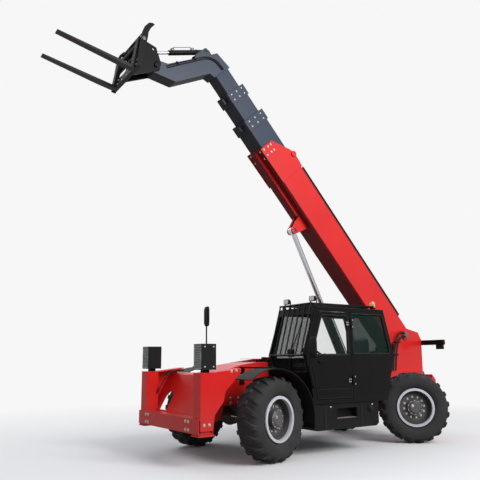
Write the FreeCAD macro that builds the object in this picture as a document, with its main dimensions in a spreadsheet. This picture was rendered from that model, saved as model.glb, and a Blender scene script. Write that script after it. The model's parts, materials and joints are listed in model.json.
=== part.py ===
import FreeCAD, Part
import math
import os

import Sketcher

# Telehandler of the 17 m class with front stabilisers, boom raised and partly extended.
# Machine frame while modelling: X forward, Y left (cab side), Z up, millimetres, origin on the
# ground midway between the axles.  frame_x then moves everything so that the origin lies under
# the middle of the overall box.

SIZES = {
    # running gear
    "wheelbase": 3220, "tyre_radius": 562, "tyre_width": 400, "lug_height": 23, "lug_count": 20,
    "wheel_y": 1010, "kingpin_y": 870, "rim_radius": 318, "rim_barrel": 290, "rim_wall": 12, "bead_in": 55,
    "hub_radius": 108, "front_steer": 14, "rear_steer": -36, "knuckle_half": 112,
    "yoke_gap": 6, "yoke_plate": 42, "kingpin_radius": 28, "pin_fit": 0.5,
    "axle_tube": 92, "steer_arm": 150, "steer_barrel": 38, "steer_rod": 19, "drive_length": 240,
    "yoke_in": 135, "yoke_wall": 30, "yoke_x": 72, "yoke_out": 58,
    # chassis
    "rail_y": 330, "rail_plate": 25, "rail_low": 440, "rail_top": 749.7, "rail_rear": 2700,
    "hump_high": 1370, "hump_rear": 1110, "hump_sheet": 12, "arch_low": 735, "arch_half": 330,
    "deck_top": 1160, "deck_plate": 30, "cross_tube": 60, "belly_sheet": 14,
    "tower_y": 265, "tower_plate": 30, "pivot_x": -2300, "pivot_z": 1850, "pivot_pin": 45,
    "weight_front": 2380, "weight_rear": 2800, "weight_half": 520, "weight_low": 620,
    "tower_back": 2740, "tower_boss": 95, "tow_radius": 20, "jaw_half": 70, "hairline": 0.3,
    # nose and stabilisers
    "beam_front": 2730, "beam_back": 2500, "beam_low": 440, "beam_high": 640, "beam_half": 950,
    "post_in": 750, "post_low": 480, "post_high": 1240, "nose_plate": 16, "wing_back": 2040,
    "wing_high": 1290, "slope_top": 2200, "slope_high": 1190, "notch_y": 550, "notch_half": 125,
    "leg_side": 150, "leg_fit": 6, "leg_wall": 10, "foot_half": 130,
    "beam_wall": 12, "nose_lip": 16, "arch_rise": 170,
    # boom
    "boom_angle": 48, "boom_drop": 85, "boom_back": 180, "boom_length": 4620, "boom_wall": 12,
    "boom_width": 400, "boom_depth": 600, "tube_corner": 24, "step_width": 54, "step_depth": 78,
    "pad_fit": 0.5, "cheek_back": 720, "cheek_plate": 12, "bumper_half": 70,
    "section_length": 4550, "collar": 200, "rest_reach": 350, "collar_wall": 20, "bumper": 60,
    "head_reach": 320, "hinge_out": 345, "hinge_n": -1190, "head_width": 240, "head_wall": 15,
    "hinge_pin": 35, "fork_tilt": 10,
    # forks and carriage
    "fork_length": 1200, "fork_width": 110, "fork_heel": 45, "fork_tip": 14, "fork_y": 380,
    "fork_face": 455, "fork_low": 430, "shank_high": 560, "shaft_radius": 32, "carriage_half": 520,
    "backrest": 400,
    # cylinders
    "lift_base_x": -1257, "lift_base_z": 624, "lift_pin_s": 3071, "lift_pin_n": -665,
    "lift_bore": 85, "base_pin": 30, "lift_barrel": 1930, "lift_rod": 45, "lift_rod_in": 1500,
    "eye_radius": 68, "eye_hole": 36, "eye_half": 45, "lug_gap": 4, "lug_plate": 25, "base_eye": 80,
    "gland_long": 110, "gland_rise": 8,
    "tilt_base_out": 135, "tilt_base_n": -60, "tilt_pin_x": 100, "tilt_pin_z": 240,
    "tilt_bore": 44, "tilt_barrel": 700, "tilt_rod": 28, "tilt_rod_in": 560, "tilt_pin": 22,
    "tilt_hole": 20, "tilt_ear": 20,
    # cab
    "cab_in": 270, "cab_out": 1170, "cab_low": 750, "cab_high": 2210, "cab_wall": 40,
    "cab_front_low": 900, "cab_front_mid": 1040, "cab_waist": 1480, "cab_front_top": 790,
    "cab_rear": -900, "cab_rear_top": -700, "cab_rear_low": -700, "tank_rear": -480, "cab_knee": 330,
    "door_rear": 80, "door_fit": 8, "door_sill": 60, "door_head": 70, "door_toe": 70, "door_knee": 45,
    "screen_sill": 260, "screen_head": 110, "screen_deep": 600, "screen_back": 160,
    "glass": 6, "glass_fit": 0.3, "window_edge": 45, "back_edge": 65,
    "guard_bars": 7, "guard_inset": 70, "guard_bar": 16, "guard_tube": 14,
    "seat_half": 240, "seat_high": 380, "wheel_ring": 185, "wheel_rod": 14, "column_lean": 35,
    # hood, engine and boxes
    "hood_in": 400, "hood_out": 1180, "hood_low": 800, "hood_high": 1420, "hood_rear": -880,
    "hood_front": 880, "hood_sheet": 20, "hood_slope": 60, "bay_wall": 12, "part_gap": 6,
    "hinge_barrel": 16, "hinge_bolt": 7, "box_low": 370, "box_high": 745, "box_chamfer": 40,
    "engine_rear": -600, "engine_front": 480, "engine_in": 480, "engine_out": 1020,
    "louvre_count": 9, "louvre_pitch": 36, "louvre_slot": 14, "louvre_back": 180, "louvre_long": 580,
    "fender_radius": 690, "fender_sheet": 12, "fender_in": 800, "bar_half": 780,
    # lamps and mirrors
    "lamp_long": 230, "lamp_half": 110, "lamp_high": 350, "lamp_wall": 15, "lamp_radius": 80,
    "work_lamp_half": 65, "beacon_foot": 50, "beacon_low": 44, "beacon_high": 36,
    "mirror_x": 1400, "mirror_half": 75, "mirror_low": 2000, "mirror_high": 2360, "stalk_radius": 16,
    # shift of the machine frame, measured below
    "frame_x": 0,
}

doc = FreeCAD.newDocument("Telehandler")
sheet = doc.addObject("Spreadsheet::Sheet", "Sizes")
for row, (alias, number) in enumerate(SIZES.items(), start=1):
    sheet.set("A%d" % row, alias)
    sheet.set("B%d" % row, str(number))
    sheet.setAlias("B%d" % row, alias)
doc.recompute()


class Dim:
    """A size as a number together with the sheet expression that gives it."""

    def __init__(self, value, text):
        self.value = value
        self.text = text

    @staticmethod
    def of(other):
        return other if isinstance(other, Dim) else Dim(other, "(%s)" % other)

    def __add__(self, other):
        other = Dim.of(other)
        return Dim(self.value + other.value, "(%s + %s)" % (self.text, other.text))

    def __sub__(self, other):
        other = Dim.of(other)
        return Dim(self.value - other.value, "(%s - %s)" % (self.text, other.text))

    def __mul__(self, other):
        other = Dim.of(other)
        return Dim(self.value * other.value, "(%s * %s)" % (self.text, other.text))

    def __truediv__(self, other):
        other = Dim.of(other)
        return Dim(self.value / other.value, "(%s / %s)" % (self.text, other.text))

    def __neg__(self):
        return Dim(-self.value, "(-1 * %s)" % self.text)

    def __radd__(self, other):
        return Dim.of(other) + self

    def __rsub__(self, other):
        return Dim.of(other) - self

    def __rmul__(self, other):
        return Dim.of(other) * self


class Sheet:
    """Reads a cell of the sheet by its alias as a Dim."""

    def __getattr__(self, alias):
        return Dim(float(sheet.get(alias)), "Sizes.%s" % alias)


S = Sheet()
NODES = []


def sine(angle):
    """Sine of an angle in degrees."""
    return Dim(math.sin(math.radians(angle.value)), "sin(%s * 1deg)" % angle.text)


def cosine(angle):
    """Cosine of an angle in degrees."""
    return Dim(math.cos(math.radians(angle.value)), "cos(%s * 1deg)" % angle.text)


def slope(rise, run):
    """Angle in degrees of a line that rises by rise over run."""
    return Dim(math.degrees(math.atan2(rise.value, run.value)),
               "(atan(%s / %s) / 1deg)" % (rise.text, run.text))


def span(rise, run):
    """Length of a line that rises by rise over run."""
    return Dim(math.hypot(rise.value, run.value),
               "sqrt(%s * %s + %s * %s)" % (rise.text, rise.text, run.text, run.text))


def bind(obj, prop, size):
    """Ties one property to the sheet."""
    obj.setExpression(prop, Dim.of(size).text)


def move(obj, at, axis=None, turn=None):
    """Places an object by expressions, turned about axis by turn degrees."""
    if turn is not None:
        obj.Placement = FreeCAD.Placement(FreeCAD.Vector(), FreeCAD.Rotation(FreeCAD.Vector(*axis), 10))
        bind(obj, "Placement.Rotation.Angle", turn)
    for name, size in zip("xyz", at):
        bind(obj, "Placement.Base." + name, size)
    return obj


def box(low, high):
    """Block between two corners."""
    obj = doc.addObject("Part::Box", "Block")
    for prop, a, b in zip(("Length", "Width", "Height"), low, high):
        bind(obj, prop, Dim.of(b) - a)
    return move(obj, low)


AXES = {"x": ((0, 1, 0), 90), "y": ((1, 0, 0), -90), "z": ((0, 0, 1), 0)}


def rod(radius, start, length, axis="z"):
    """Round bar from start along an axis."""
    obj = doc.addObject("Part::Cylinder", "Round")
    bind(obj, "Radius", radius)
    bind(obj, "Height", length)
    vector, angle = AXES[axis]
    obj.Placement = FreeCAD.Placement(FreeCAD.Vector(), FreeCAD.Rotation(FreeCAD.Vector(*vector), angle))
    return move(obj, start)


def bar_y(radius, x, z, half, centre=0):
    """Round bar along Y, as long on both sides of centre."""
    return rod(radius, (x, Dim.of(centre) - half, z), 2 * Dim.of(half), "y")


def cone(low, high, start, length, axis="z"):
    """Tapered round bar from start along an axis."""
    obj = doc.addObject("Part::Cone", "Taper")
    bind(obj, "Radius1", low)
    bind(obj, "Radius2", high)
    bind(obj, "Height", length)
    vector, angle = AXES[axis]
    obj.Placement = FreeCAD.Placement(FreeCAD.Vector(), FreeCAD.Rotation(FreeCAD.Vector(*vector), angle))
    return move(obj, start)


PLANES = {"xz": ((1, 0, 0), 90), "yz": ((1, 1, 1), 120), "xy": ((0, 0, 1), 0)}


def trace(sketch, points):
    """Draws a closed outline through points in a sketch, each held to the sheet."""
    vectors = [FreeCAD.Vector(Dim.of(a).value, Dim.of(b).value, 0) for a, b in points]
    count = len(points)
    for i in range(count):
        sketch.addGeometry(Part.LineSegment(vectors[i], vectors[(i + 1) % count]), False)
    for i in range(count):
        sketch.addConstraint(Sketcher.Constraint("Coincident", i, 2, (i + 1) % count, 1))
    for i, pair in enumerate(points):
        for kind, size in zip(("DistanceX", "DistanceY"), pair):
            size = Dim.of(size)
            index = sketch.addConstraint(Sketcher.Constraint(kind, -1, 1, i, 1, size.value))
            if "Sizes" in size.text:
                sketch.setExpression("Constraints[%d]" % index, size.text)


def outline(plane, points, level=0):
    """Closed sketch through points, at a level of its plane."""
    sketch = doc.addObject("Sketcher::SketchObject", "Outline")
    trace(sketch, points)
    vector, angle = PLANES[plane]
    sketch.Placement = FreeCAD.Placement(FreeCAD.Vector(), FreeCAD.Rotation(FreeCAD.Vector(*vector), angle))
    across = {"xz": "y", "yz": "x", "xy": "z"}[plane]
    bind(sketch, "Placement.Base." + across, level)
    return sketch


def plate(plane, points, thick, level=0):
    """Plate of an outline, half its thickness on each side of the level."""
    obj = doc.addObject("Part::Extrusion", "Plate")
    obj.Base = outline(plane, points, level)
    obj.DirMode = "Normal"
    obj.Solid = True
    obj.Symmetric = True
    bind(obj, "LengthFwd", thick)
    return obj


def fuse(pieces, refine=True):
    """One solid of pieces that touch."""
    obj = doc.addObject("Part::MultiFuse", "Joined")
    obj.Shapes = pieces
    obj.Refine = refine
    return obj


def common(first, second):
    """What two pieces share."""
    obj = doc.addObject("Part::Common", "Shared")
    obj.Base = first
    obj.Tool = second
    obj.Refine = False
    return obj


def group(pieces):
    """Separate solids kept together."""
    obj = doc.addObject("Part::Compound", "Group")
    obj.Links = pieces
    return obj


def cut(base, tools):
    """Base with the tools taken out."""
    obj = doc.addObject("Part::Cut", "Cut")
    obj.Base = base
    obj.Tool = tools[0] if len(tools) == 1 else group(tools)
    obj.Refine = True
    return obj


def node(name, obj, at=(0, 0, 0), axis=None, turn=None):
    """Names a finished sub-part and places it in the machine frame."""
    obj.Label = name
    move(obj, (S.frame_x + at[0], at[1], at[2]), axis, turn)
    NODES.append(obj)
    return obj


# Frames that turn with the boom, the carriage and the lift cylinder.

def boom_point(along, up):
    """Machine X and Z of a point given along and square to the boom."""
    angle = S.boom_angle
    x = S.pivot_x + along * cosine(angle) - up * sine(angle)
    z = S.pivot_z + along * sine(angle) + up * cosine(angle)
    return x, z


def boom_node(name, obj):
    """A node of the boom, built flat from the pivot and raised to the boom's angle."""
    return node(name, obj, (S.pivot_x, 0, S.pivot_z), (0, -1, 0), S.boom_angle)


def carriage_node(name, obj):
    """A node of the carriage, built level from its hinge and tilted with the forks."""
    x, z = boom_point(HINGE_S, S.hinge_n)
    return node(name, obj, (x, 0, z), (0, -1, 0), S.fork_tilt)


# Running gear

AXLE_Z = S.tyre_radius + S.lug_height
RAIL_FRONT = S.beam_back - 40
BOOM_FRONT = S.boom_length + 3 * S.rest_reach + 2 * S.collar
HEAD_BEND = BOOM_FRONT + S.head_reach
HINGE_S = HEAD_BEND + S.hinge_out
TILT_BASE_S = HEAD_BEND + S.tilt_base_out
AXLES = (("front", S.wheelbase / 2, S.front_steer, 1), ("rear", -S.wheelbase / 2, S.rear_steer, -1))
SIDES = (("left", 1), ("right", -1))


def tyre_master():
    """Lugged tyre about Y: a stepped carcass turned once, with slanted lugs set around it."""
    body = doc.addObject("PartDesign::Body", "TyreBody")
    plane = [f for f in body.Origin.OriginFeatures if f.Role == "XY_Plane"][0]
    sketch = body.newObject("Sketcher::SketchObject", "TyreSection")
    sketch.AttachmentSupport = [(plane, "")]
    sketch.MapMode = "FlatFace"
    half = S.tyre_width / 2
    bead = S.rim_barrel + 4
    seat, lip = half - S.bead_in, S.rim_radius + 5
    points = [(bead, -seat), (bead, seat), (lip, seat), (lip + 42, half - 8), (S.tyre_radius - 95, half),
              (S.tyre_radius - 30, half - 22), (S.tyre_radius, half - 80), (S.tyre_radius, -(half - 80)),
              (S.tyre_radius - 30, -(half - 22)), (S.tyre_radius - 95, -half), (lip + 42, -(half - 8)),
              (lip, -seat)]
    trace(sketch, points)
    turned = body.newObject("PartDesign::Revolution", "Carcass")
    turned.Profile = sketch
    turned.ReferenceAxis = (sketch, ["V_Axis"])
    turned.Angle = 360
    body.Tip = turned
    doc.recompute()
    # Each lug is a slanted bar from the middle of the tread over the shoulder.
    lugs = []
    count = int(S.lug_count.value)
    for i in range(count):
        for side in (1, -1):
            angle = 360.0 / count * (i + (0.5 if side < 0 else 0.0))
            lugs.append(tread_lug(side, angle))
    limit = bar_y(S.tyre_radius + S.lug_height, 0, 0, S.tyre_width / 2 + 5)
    return common(fuse([body] + lugs, refine=False), limit)


def tread_lug(side, angle):
    """One tread bar: a slanted prism across half the tread, turned to its place about Y."""
    half = S.tyre_width / 2
    lean = 85
    width = 58
    points = [(-width / 2, -8 * side), (width / 2, -8 * side),
              (lean + width / 2, side * (half - 6)), (lean - width / 2, side * (half - 6))]
    bar = doc.addObject("Part::Extrusion", "Lug")
    bar.Base = outline("xy", points, S.tyre_radius - 48)
    bar.DirMode = "Normal"
    bar.Solid = True
    bind(bar, "LengthFwd", 48 + S.lug_height)
    turned = doc.addObject("Part::Compound", "LugTurned")
    turned.Links = [bar]
    turned.Placement = FreeCAD.Placement(FreeCAD.Vector(), FreeCAD.Rotation(FreeCAD.Vector(0, 1, 0), angle))
    return turned


def rim_master():
    """Wheel rim about Y with its outer side at +Y: barrel, flanges, dished disc and hub."""
    half = S.tyre_width / 2 - S.bead_in
    barrel = cut(rod(S.rim_barrel + 3.7, (0, -half - 30, 0), 2 * half + 60, "y"),
                 [rod(S.rim_barrel - S.rim_wall, (0, -half - 31, 0), 2 * half + 62, "y")])
    flanges = []
    for side in (1, -1):
        middle = side * (half + 15 + S.hairline)
        flanges.append(cut(rod(S.rim_radius, (0, middle - 15, 0), 30, "y"),
                           [rod(S.rim_barrel - S.rim_wall, (0, middle - 16, 0), 32, "y")]))
    disc = cone(S.rim_barrel - S.rim_wall + 4, S.rim_barrel - 70, (0, 20, 0), 26, "y")
    hub = rod(S.hub_radius + 20, (0, 30, 0), 95, "y")
    cap = cone(S.hub_radius + 4, S.hub_radius - 26, (0, 124, 0), 22, "y")
    return fuse([barrel, disc, hub, cap] + flanges)


def knuckle_master(direction):
    """Steering knuckle about its kingpin, outer side at +Y, arm towards direction."""
    block = box((-82, -62, -S.knuckle_half), (82, 62, S.knuckle_half))
    spindle = rod(S.hub_radius - 4, (0, 40, 0), S.wheel_y - S.kingpin_y - 40 + 19.5, "y")
    arm = plate("xy", [(direction * 60, 35), (direction * 60, -20), (direction * (S.steer_arm + 32), -20),
                       (direction * (S.steer_arm + 32), 24)], 28, 0)
    bore = rod(S.kingpin_radius + S.pin_fit, (0, 0, -S.knuckle_half - 1), 2 * S.knuckle_half + 2)
    eye = rod(14, (direction * S.steer_arm, 0, -20), 40)
    return cut(fuse([block, spindle, arm]), [bore, eye])


def running_gear():
    """Wheels, knuckles, axles and steering rods of both axles."""
    tyre = tyre_master()
    rim = rim_master()
    reach = S.wheel_y - S.kingpin_y
    for end, axle_x, steer, direction in AXLES:
        for side, sign in SIDES:
            x = axle_x - sign * reach * sine(steer)
            y = sign * (S.kingpin_y + reach * cosine(steer))
            turn = steer if sign > 0 else steer + 180
            node("tyre_%s_%s" % (end, side), group([tyre]), (x, y, AXLE_Z), (0, 0, 1), turn)
            node("rim_%s_%s" % (end, side), group([rim]), (x, y, AXLE_Z), (0, 0, 1), turn)
            knuckle = knuckle_master(direction * sign)
            at = (axle_x, sign * S.kingpin_y, AXLE_Z)
            node("knuckle_%s_%s" % (end, side), knuckle, at, (0, 0, 1), turn)
        axle(end, axle_x, direction)
        steering_rod(end, axle_x, steer, direction)


def axle(end, axle_x, direction):
    """Axle beam with its differential, yokes, kingpins and steering barrel."""
    wide, length = S.axle_tube + 78, 330
    tapers = [cone(wide, S.axle_tube, (0, 0, 0), length, "y"),
              move_turned(cone(wide, S.axle_tube, (0, 0, 0), length, "y"))]
    drive = rod(95, (Dim.of(0) if direction < 0 else -S.drive_length, 0, 0), S.drive_length, "x")
    arm_x = (Dim.of(0), S.steer_arm) if direction > 0 else (-S.steer_arm, Dim.of(0))
    pieces = [bar_y(S.axle_tube, 0, 0, S.kingpin_y - S.yoke_in), drive] + tapers
    near = S.knuckle_half + S.yoke_gap
    far = near + S.yoke_plate
    for sign in (1, -1):
        inside = sign * (S.kingpin_y - S.yoke_in)
        pieces += [across(S.yoke_x, sign, inside, sign * (S.kingpin_y + S.yoke_out), level)
                   for level in ((near, far), (-far, -near))]
        pieces.append(across(S.yoke_x, sign, inside, inside + sign * S.yoke_wall, (-near - 10, near + 10)))
        pieces.append(rod(S.kingpin_radius, (0, sign * S.kingpin_y, -near - 10), 2 * (near + 10)))
        pieces.append(box((arm_x[0], sign * 150 - 20, -30), (arm_x[1], sign * 150 + 20, 30)))
    pieces.append(bar_y(S.steer_barrel, direction * S.steer_arm, 0, 250))
    hollow = bar_y(S.steer_rod + S.pin_fit, direction * S.steer_arm, 0, 260)
    seat = S.rail_y - S.rail_plate
    pieces.append(box((-95, -seat, 60), (95, seat, S.arch_low - AXLE_Z + 60)))
    node("axle_" + end, cut(fuse(pieces), [hollow]), (axle_x, 0, AXLE_Z))


def across(half_x, sign, inner, outer, level):
    """Block centred on X that runs outwards on one side, between two levels."""
    low, high = (inner, outer) if sign > 0 else (outer, inner)
    return box((-half_x, low, level[0]), (half_x, high, level[1]))


def move_turned(obj):
    """Turns a Y-axis piece to point to -Y."""
    obj.Placement = FreeCAD.Placement(FreeCAD.Vector(), FreeCAD.Rotation(FreeCAD.Vector(1, 0, 0), 90))
    return obj


def steering_rod(end, axle_x, steer, direction):
    """Through rod of the steering cylinder with an eye over each knuckle arm."""
    shift = direction * S.steer_arm * sine(steer)
    half, eye_low, eye_high = S.kingpin_y, S.steer_rod, 44
    pieces = [bar_y(S.steer_rod, 0, 0, half - 45)]
    for sign in (1, -1):
        y = sign * half
        neck = sign * (half - 60)
        pieces.append(box((-17, neck - 16, -S.steer_rod), (17, neck + 16, eye_high)))
        low, high = (y - 60, y + 24) if sign > 0 else (y - 24, y + 60)
        pieces.append(box((-22, low, eye_low), (22, high, eye_high)))
    node("steering_rod_" + end, fuse(pieces), (axle_x + direction * S.steer_arm, shift, AXLE_Z))


# Chassis

HUMP = [(S.wing_back, S.slope_high + 24), (S.wheelbase / 2 + 30, S.hump_high - 40),
        (S.wheelbase / 2 - 280, S.hump_high), (S.hump_rear, S.hump_high)]


def frame_rails():
    """Two side rails arched over the axles, with the cross tubes between them."""
    a = S.wheelbase / 2
    points = [(-S.rail_rear, S.weight_low), (-a - S.arch_half - 90, S.weight_low),
              (-a - S.arch_half, S.arch_low), (-a + S.arch_half, S.arch_low),
              (-a + S.arch_half + 90, S.rail_low), (a - S.arch_half - 90, S.rail_low),
              (a - S.arch_half, S.arch_low), (a + S.arch_half, S.arch_low),
              (a + S.arch_half + 60, S.rail_low + 100), (RAIL_FRONT, S.beam_low),
              (RAIL_FRONT, S.beam_high + 60), (S.slope_top - 14, S.slope_high - 18),
              (S.wing_back + 1, S.slope_high), *HUMP, (a - 550, S.rail_top),
              (-a + 500, S.rail_top), (-a + 250, S.deck_top - S.deck_plate),
              (-S.rail_rear, S.deck_top - S.deck_plate)]
    pieces = [plate("xz", points, S.rail_plate, sign * (S.rail_y - S.rail_plate / 2)) for sign in (1, -1)]
    inner = S.rail_y - S.rail_plate / 2
    cover = HUMP + [(x, z - S.hump_sheet) for x, z in reversed(HUMP)]
    pieces.append(plate("xz", cover, 2 * inner))
    for x in (-1000, 150, 1050):
        pieces.append(bar_y(S.cross_tube, x, S.rail_low + 90, inner))
    pieces.append(bar_y(55, S.lift_base_x, S.lift_base_z, inner))
    pieces.append(box((-a + 420, -inner, S.rail_low), (a - 430, inner, S.rail_low + S.belly_sheet)))
    pieces.append(box((a - 60, -inner, S.deck_top - 60), (a + 60, inner, S.deck_top - 20)))
    room = box((S.lift_base_x - 110, -S.eye_half - 4, S.lift_base_z - 110),
               (S.lift_base_x + 110, S.eye_half + 4, S.lift_base_z + 110))
    pin = bar_y(S.base_pin, S.lift_base_x, S.lift_base_z, S.eye_half + 40)
    node("frame_rails", fuse([cut(fuse(pieces), [room]), pin]))


def boom_tower():
    """Rear uprights that carry the boom pin, on a deck plate over the rails."""
    deck = box((-S.rail_rear, -S.rail_y, S.deck_top - S.deck_plate), (-1750, S.rail_y, S.deck_top))
    points = [(-2760, S.deck_top - 5), (-2780, S.pivot_z - 90), (-2690, S.pivot_z + 60),
              (S.pivot_x - 60, S.pivot_z + 130), (S.pivot_x + 110, S.pivot_z + 70), (-1760, S.deck_top - 5)]
    middle = S.tower_y - S.tower_plate / 2
    plates = [plate("xz", points, S.tower_plate, sign * middle) for sign in (1, -1)]
    back = box((-S.tower_back, -middle, S.deck_top - 10), (25 - S.tower_back, middle, S.deck_top + 170))
    pin = bar_y(S.pivot_pin, S.pivot_x, S.pivot_z, S.tower_y + 30)
    bosses = [bar_y(S.tower_boss, S.pivot_x, S.pivot_z, 12, sign * (S.tower_y + 11)) for sign in (1, -1)]
    crossbar = box((-2830, -S.bar_half, S.pivot_z - 190), (-2770, S.bar_half, S.pivot_z - 95))
    node("boom_tower", fuse([deck, back, pin] + plates + bosses))
    node("rear_bar", cut(crossbar, [box((-2780.4, -S.tower_y, S.pivot_z - 210),
                                        (-2700, S.tower_y, S.pivot_z - 90))]))


def counterweight():
    """Rear weight: one casting with a sloped back and a tow bore below."""
    rear, low, high = -S.weight_rear, S.weight_low, S.deck_top
    sloped = [(rear + 60, low), (rear, low + 90), (rear, high - 160), (rear + 90, high - 60)]
    inside = S.rail_y - S.rail_plate - S.hairline
    ends = (-S.weight_front, -S.rail_rear - S.hairline)
    middle, block = [plate("xz", [(end, low), *sloped, (end, high - 60)], width)
                     for end, width in zip(ends, (2 * inside, 2 * S.weight_half))]
    jaws = box((rear - 110, -S.jaw_half, low + 100), (rear + 20, S.jaw_half, low + 230))
    mouth = box((rear - 120, -S.jaw_half - 10, low + 140), (rear - 10, S.jaw_half + 10, low + 190))
    bore = rod(S.tow_radius, (rear - 60, 0, low + 90), 150)
    node("counterweight", cut(fuse([middle, block, jaws]), [mouth, bore]))


def nose_frame():
    """Sloped nose sheet with two arched openings, cross beam, stabiliser posts and their wings."""
    front, back = S.beam_front, S.beam_back
    wall, lip = S.beam_wall, S.nose_lip
    beam = cut(box((back, -S.beam_half, S.beam_low), (front, S.beam_half, S.beam_high)),
               [box((back + wall, -S.beam_half - 1, S.beam_low + wall),
                    (front - wall, S.beam_half + 1, S.beam_high - wall))])
    bent = [(back, S.beam_high - 4), (back, S.beam_high + 10), (S.slope_top, S.slope_high - 16),
            (S.wing_back + 2, S.slope_high + 8), (S.wing_back + 2, S.slope_high + 24),
            (S.slope_top + 8, S.slope_high), (back + 22, S.beam_high + 12), (back + 30, S.beam_high - 4)]
    arches = []
    arch_z = S.beam_high + S.arch_rise
    for sign in (1, -1):
        y = sign * S.notch_y
        arches.append(box((back - 250, y - S.notch_half, S.beam_high + lip),
                          (back + 40, y + S.notch_half, arch_z)))
        arches.append(rod(S.notch_half, (back - 250, y, arch_z), 290, "x"))
    pieces = [beam, cut(plate("xz", bent, 2 * S.beam_half - S.nose_plate), arches)]
    for sign in (1, -1):
        y = sign * (S.rail_y - wall)
        pieces.append(box((RAIL_FRONT + S.hairline, y - wall, S.beam_low),
                          (back + 20, y + wall, S.beam_high + 10)))
    wing = [(back, S.post_low), (front - 30, S.post_low), (front - 30, S.post_high), (back, S.post_high),
            (S.wing_back, S.wing_high), (S.wing_back, S.wing_high - 50), (back - 200, S.slope_high - 205),
            (back - 170, S.slope_high - 340), (back - 25, S.beam_high + 40)]
    roof = [(S.wing_back, S.wing_high - lip), (S.wing_back, S.wing_high), (back, S.post_high),
            (front - 30, S.post_high), (front - 30, S.post_high - lip), (back, S.post_high - lip)]
    for sign in (1, -1):
        inner, outer = sign * S.post_in, sign * S.beam_half
        low, high = (inner, outer) if sign > 0 else (outer, inner)
        pieces.append(box((back, low, S.post_low), (front - 30, high, S.post_high - 10)))
        pieces.append(plate("xz", wing, S.nose_plate, sign * (S.beam_half - S.nose_plate / 2)))
        pieces.append(plate("xz", roof, S.beam_half - S.post_in, sign * (S.beam_half + S.post_in) / 2))
    middle = (S.post_in + S.beam_half) / 2
    shafts = [box((back + 20, sign * middle - S.leg_side / 2 - S.leg_fit, S.beam_low - 1),
                  (back + 32 + S.leg_side, sign * middle + S.leg_side / 2 + S.leg_fit, S.post_high - 30))
              for sign in (1, -1)]
    node("nose_frame", cut(fuse(pieces), shafts))


def stabiliser_legs():
    """Jack legs that slide down out of the posts, each with its foot."""
    middle = (S.post_in + S.beam_half) / 2
    x0 = S.beam_back + 26
    half, pad, wall = S.leg_side / 2, S.leg_fit - S.pad_fit, S.leg_wall
    top = S.post_high - 60
    for side, sign in SIDES:
        y = sign * middle
        stem = box((x0, y - half, S.post_low - 52), (x0 + S.leg_side, y + half, top))
        pads = box((x0 - pad, y - half - pad, top - 70), (x0 + S.leg_side + pad, y + half + pad, top - 10))
        hollow = box((x0 + wall, y - half + wall, S.post_low - 30),
                     (x0 + S.leg_side - wall, y + half - wall, top + 1))
        tube = cut(fuse([stem, pads]), [hollow])
        centre = x0 + S.leg_side / 2
        low, high = S.post_low - 70, S.post_low - 46
        foot = plate("xz", [(centre - S.foot_half, low), (centre + S.foot_half, low),
                            (centre + S.foot_half - 20, high), (centre - S.foot_half + 20, high)],
                     S.foot_half * 1.6, y)
        node("stabiliser_leg_" + side, fuse([tube, foot]))


def fenders():
    """Mudguards bent around the front wheels, each on an arm from the rail."""
    axle_x, outer = S.wheelbase / 2, S.wheel_y + S.tyre_width / 2
    radius, skin_t, width = S.fender_radius, S.fender_sheet, outer - S.fender_in
    top, reach = AXLE_Z + radius, 2 * S.fender_radius
    # the sheet runs from 38 degrees before the top to 8 degrees below the axle behind the wheel
    ahead, above, below = 0.62 * reach, 0.79 * reach, 0.14 * reach
    kept = [(axle_x, AXLE_Z), (axle_x + ahead, AXLE_Z + above), (axle_x - reach, AXLE_Z + above),
            (axle_x - reach, AXLE_Z - below)]
    pieces = []
    for sign in (1, -1):
        middle = sign * (outer + S.fender_in) / 2
        ring = cut(bar_y(radius + skin_t, axle_x, AXLE_Z, width / 2, middle),
                   [bar_y(radius, axle_x, AXLE_Z, width / 2 + 1, middle)])
        skin = common(ring, plate("xz", kept, width + 2, middle))
        near, end_y = S.rail_y + S.hairline, outer - 60
        far = near + 20
        arm_y = (near, end_y) if sign > 0 else (-end_y, -near)
        post_y = (near, far) if sign > 0 else (-far, -near)
        back, front, high = axle_x - 40, axle_x + 40, top + skin_t + 18
        arm = box((back, arm_y[0], top + skin_t - 5), (front, arm_y[1], high))
        post = box((back, post_y[0], S.deck_top - 120), (front, post_y[1], high))
        pieces.append(fuse([skin, arm, post]))
    node("fenders_front", group(pieces))


def lower_boxes():
    """Fuel tank with its step under the cab, and the hydraulic tank under the hood."""
    front, knee = S.cab_front_low - 20, S.box_low + S.box_chamfer
    inner, outer = S.rail_y + S.hairline, S.cab_out - 20
    left = plate("xz", [(S.tank_rear, knee), (S.tank_rear + 60, S.box_low), (front - 50, S.box_low),
                        (front, knee), (front, S.box_high), (S.tank_rear, S.box_high)],
                 outer - inner, (outer + inner) / 2)
    step = box((0, S.cab_out - 140, S.box_low + 150), (420, S.cab_out + 10, S.box_low + 300))
    node("fuel_tank", cut(left, [step]))
    inner, outer = S.rail_y + S.bay_wall + S.hairline, S.hood_out - 30
    rear, front, top = S.hood_rear + 60, S.hood_front - 60, S.hood_low - S.part_gap
    right = plate("xz", [(rear, knee), (rear + 50, S.box_low), (front - 50, S.box_low), (front, knee),
                         (front, top), (rear, top)], outer - inner, -(outer + inner) / 2)
    node("hydraulic_tank", right)


def engine():
    """Engine as one plain block on two feet over the hydraulic tank, with its tray walls."""
    block = box((S.engine_rear, -S.engine_out, S.hood_low + 60),
                (S.engine_front, -S.engine_in, S.hood_high - 140))
    feet = [box((x, 20 - S.engine_out, S.hood_low - S.part_gap), (x + 80, -S.engine_in - 20, S.hood_low + 70))
            for x in (S.engine_rear + 80, S.engine_front - 160)]
    node("engine_block", fuse([block] + feet))


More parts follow.
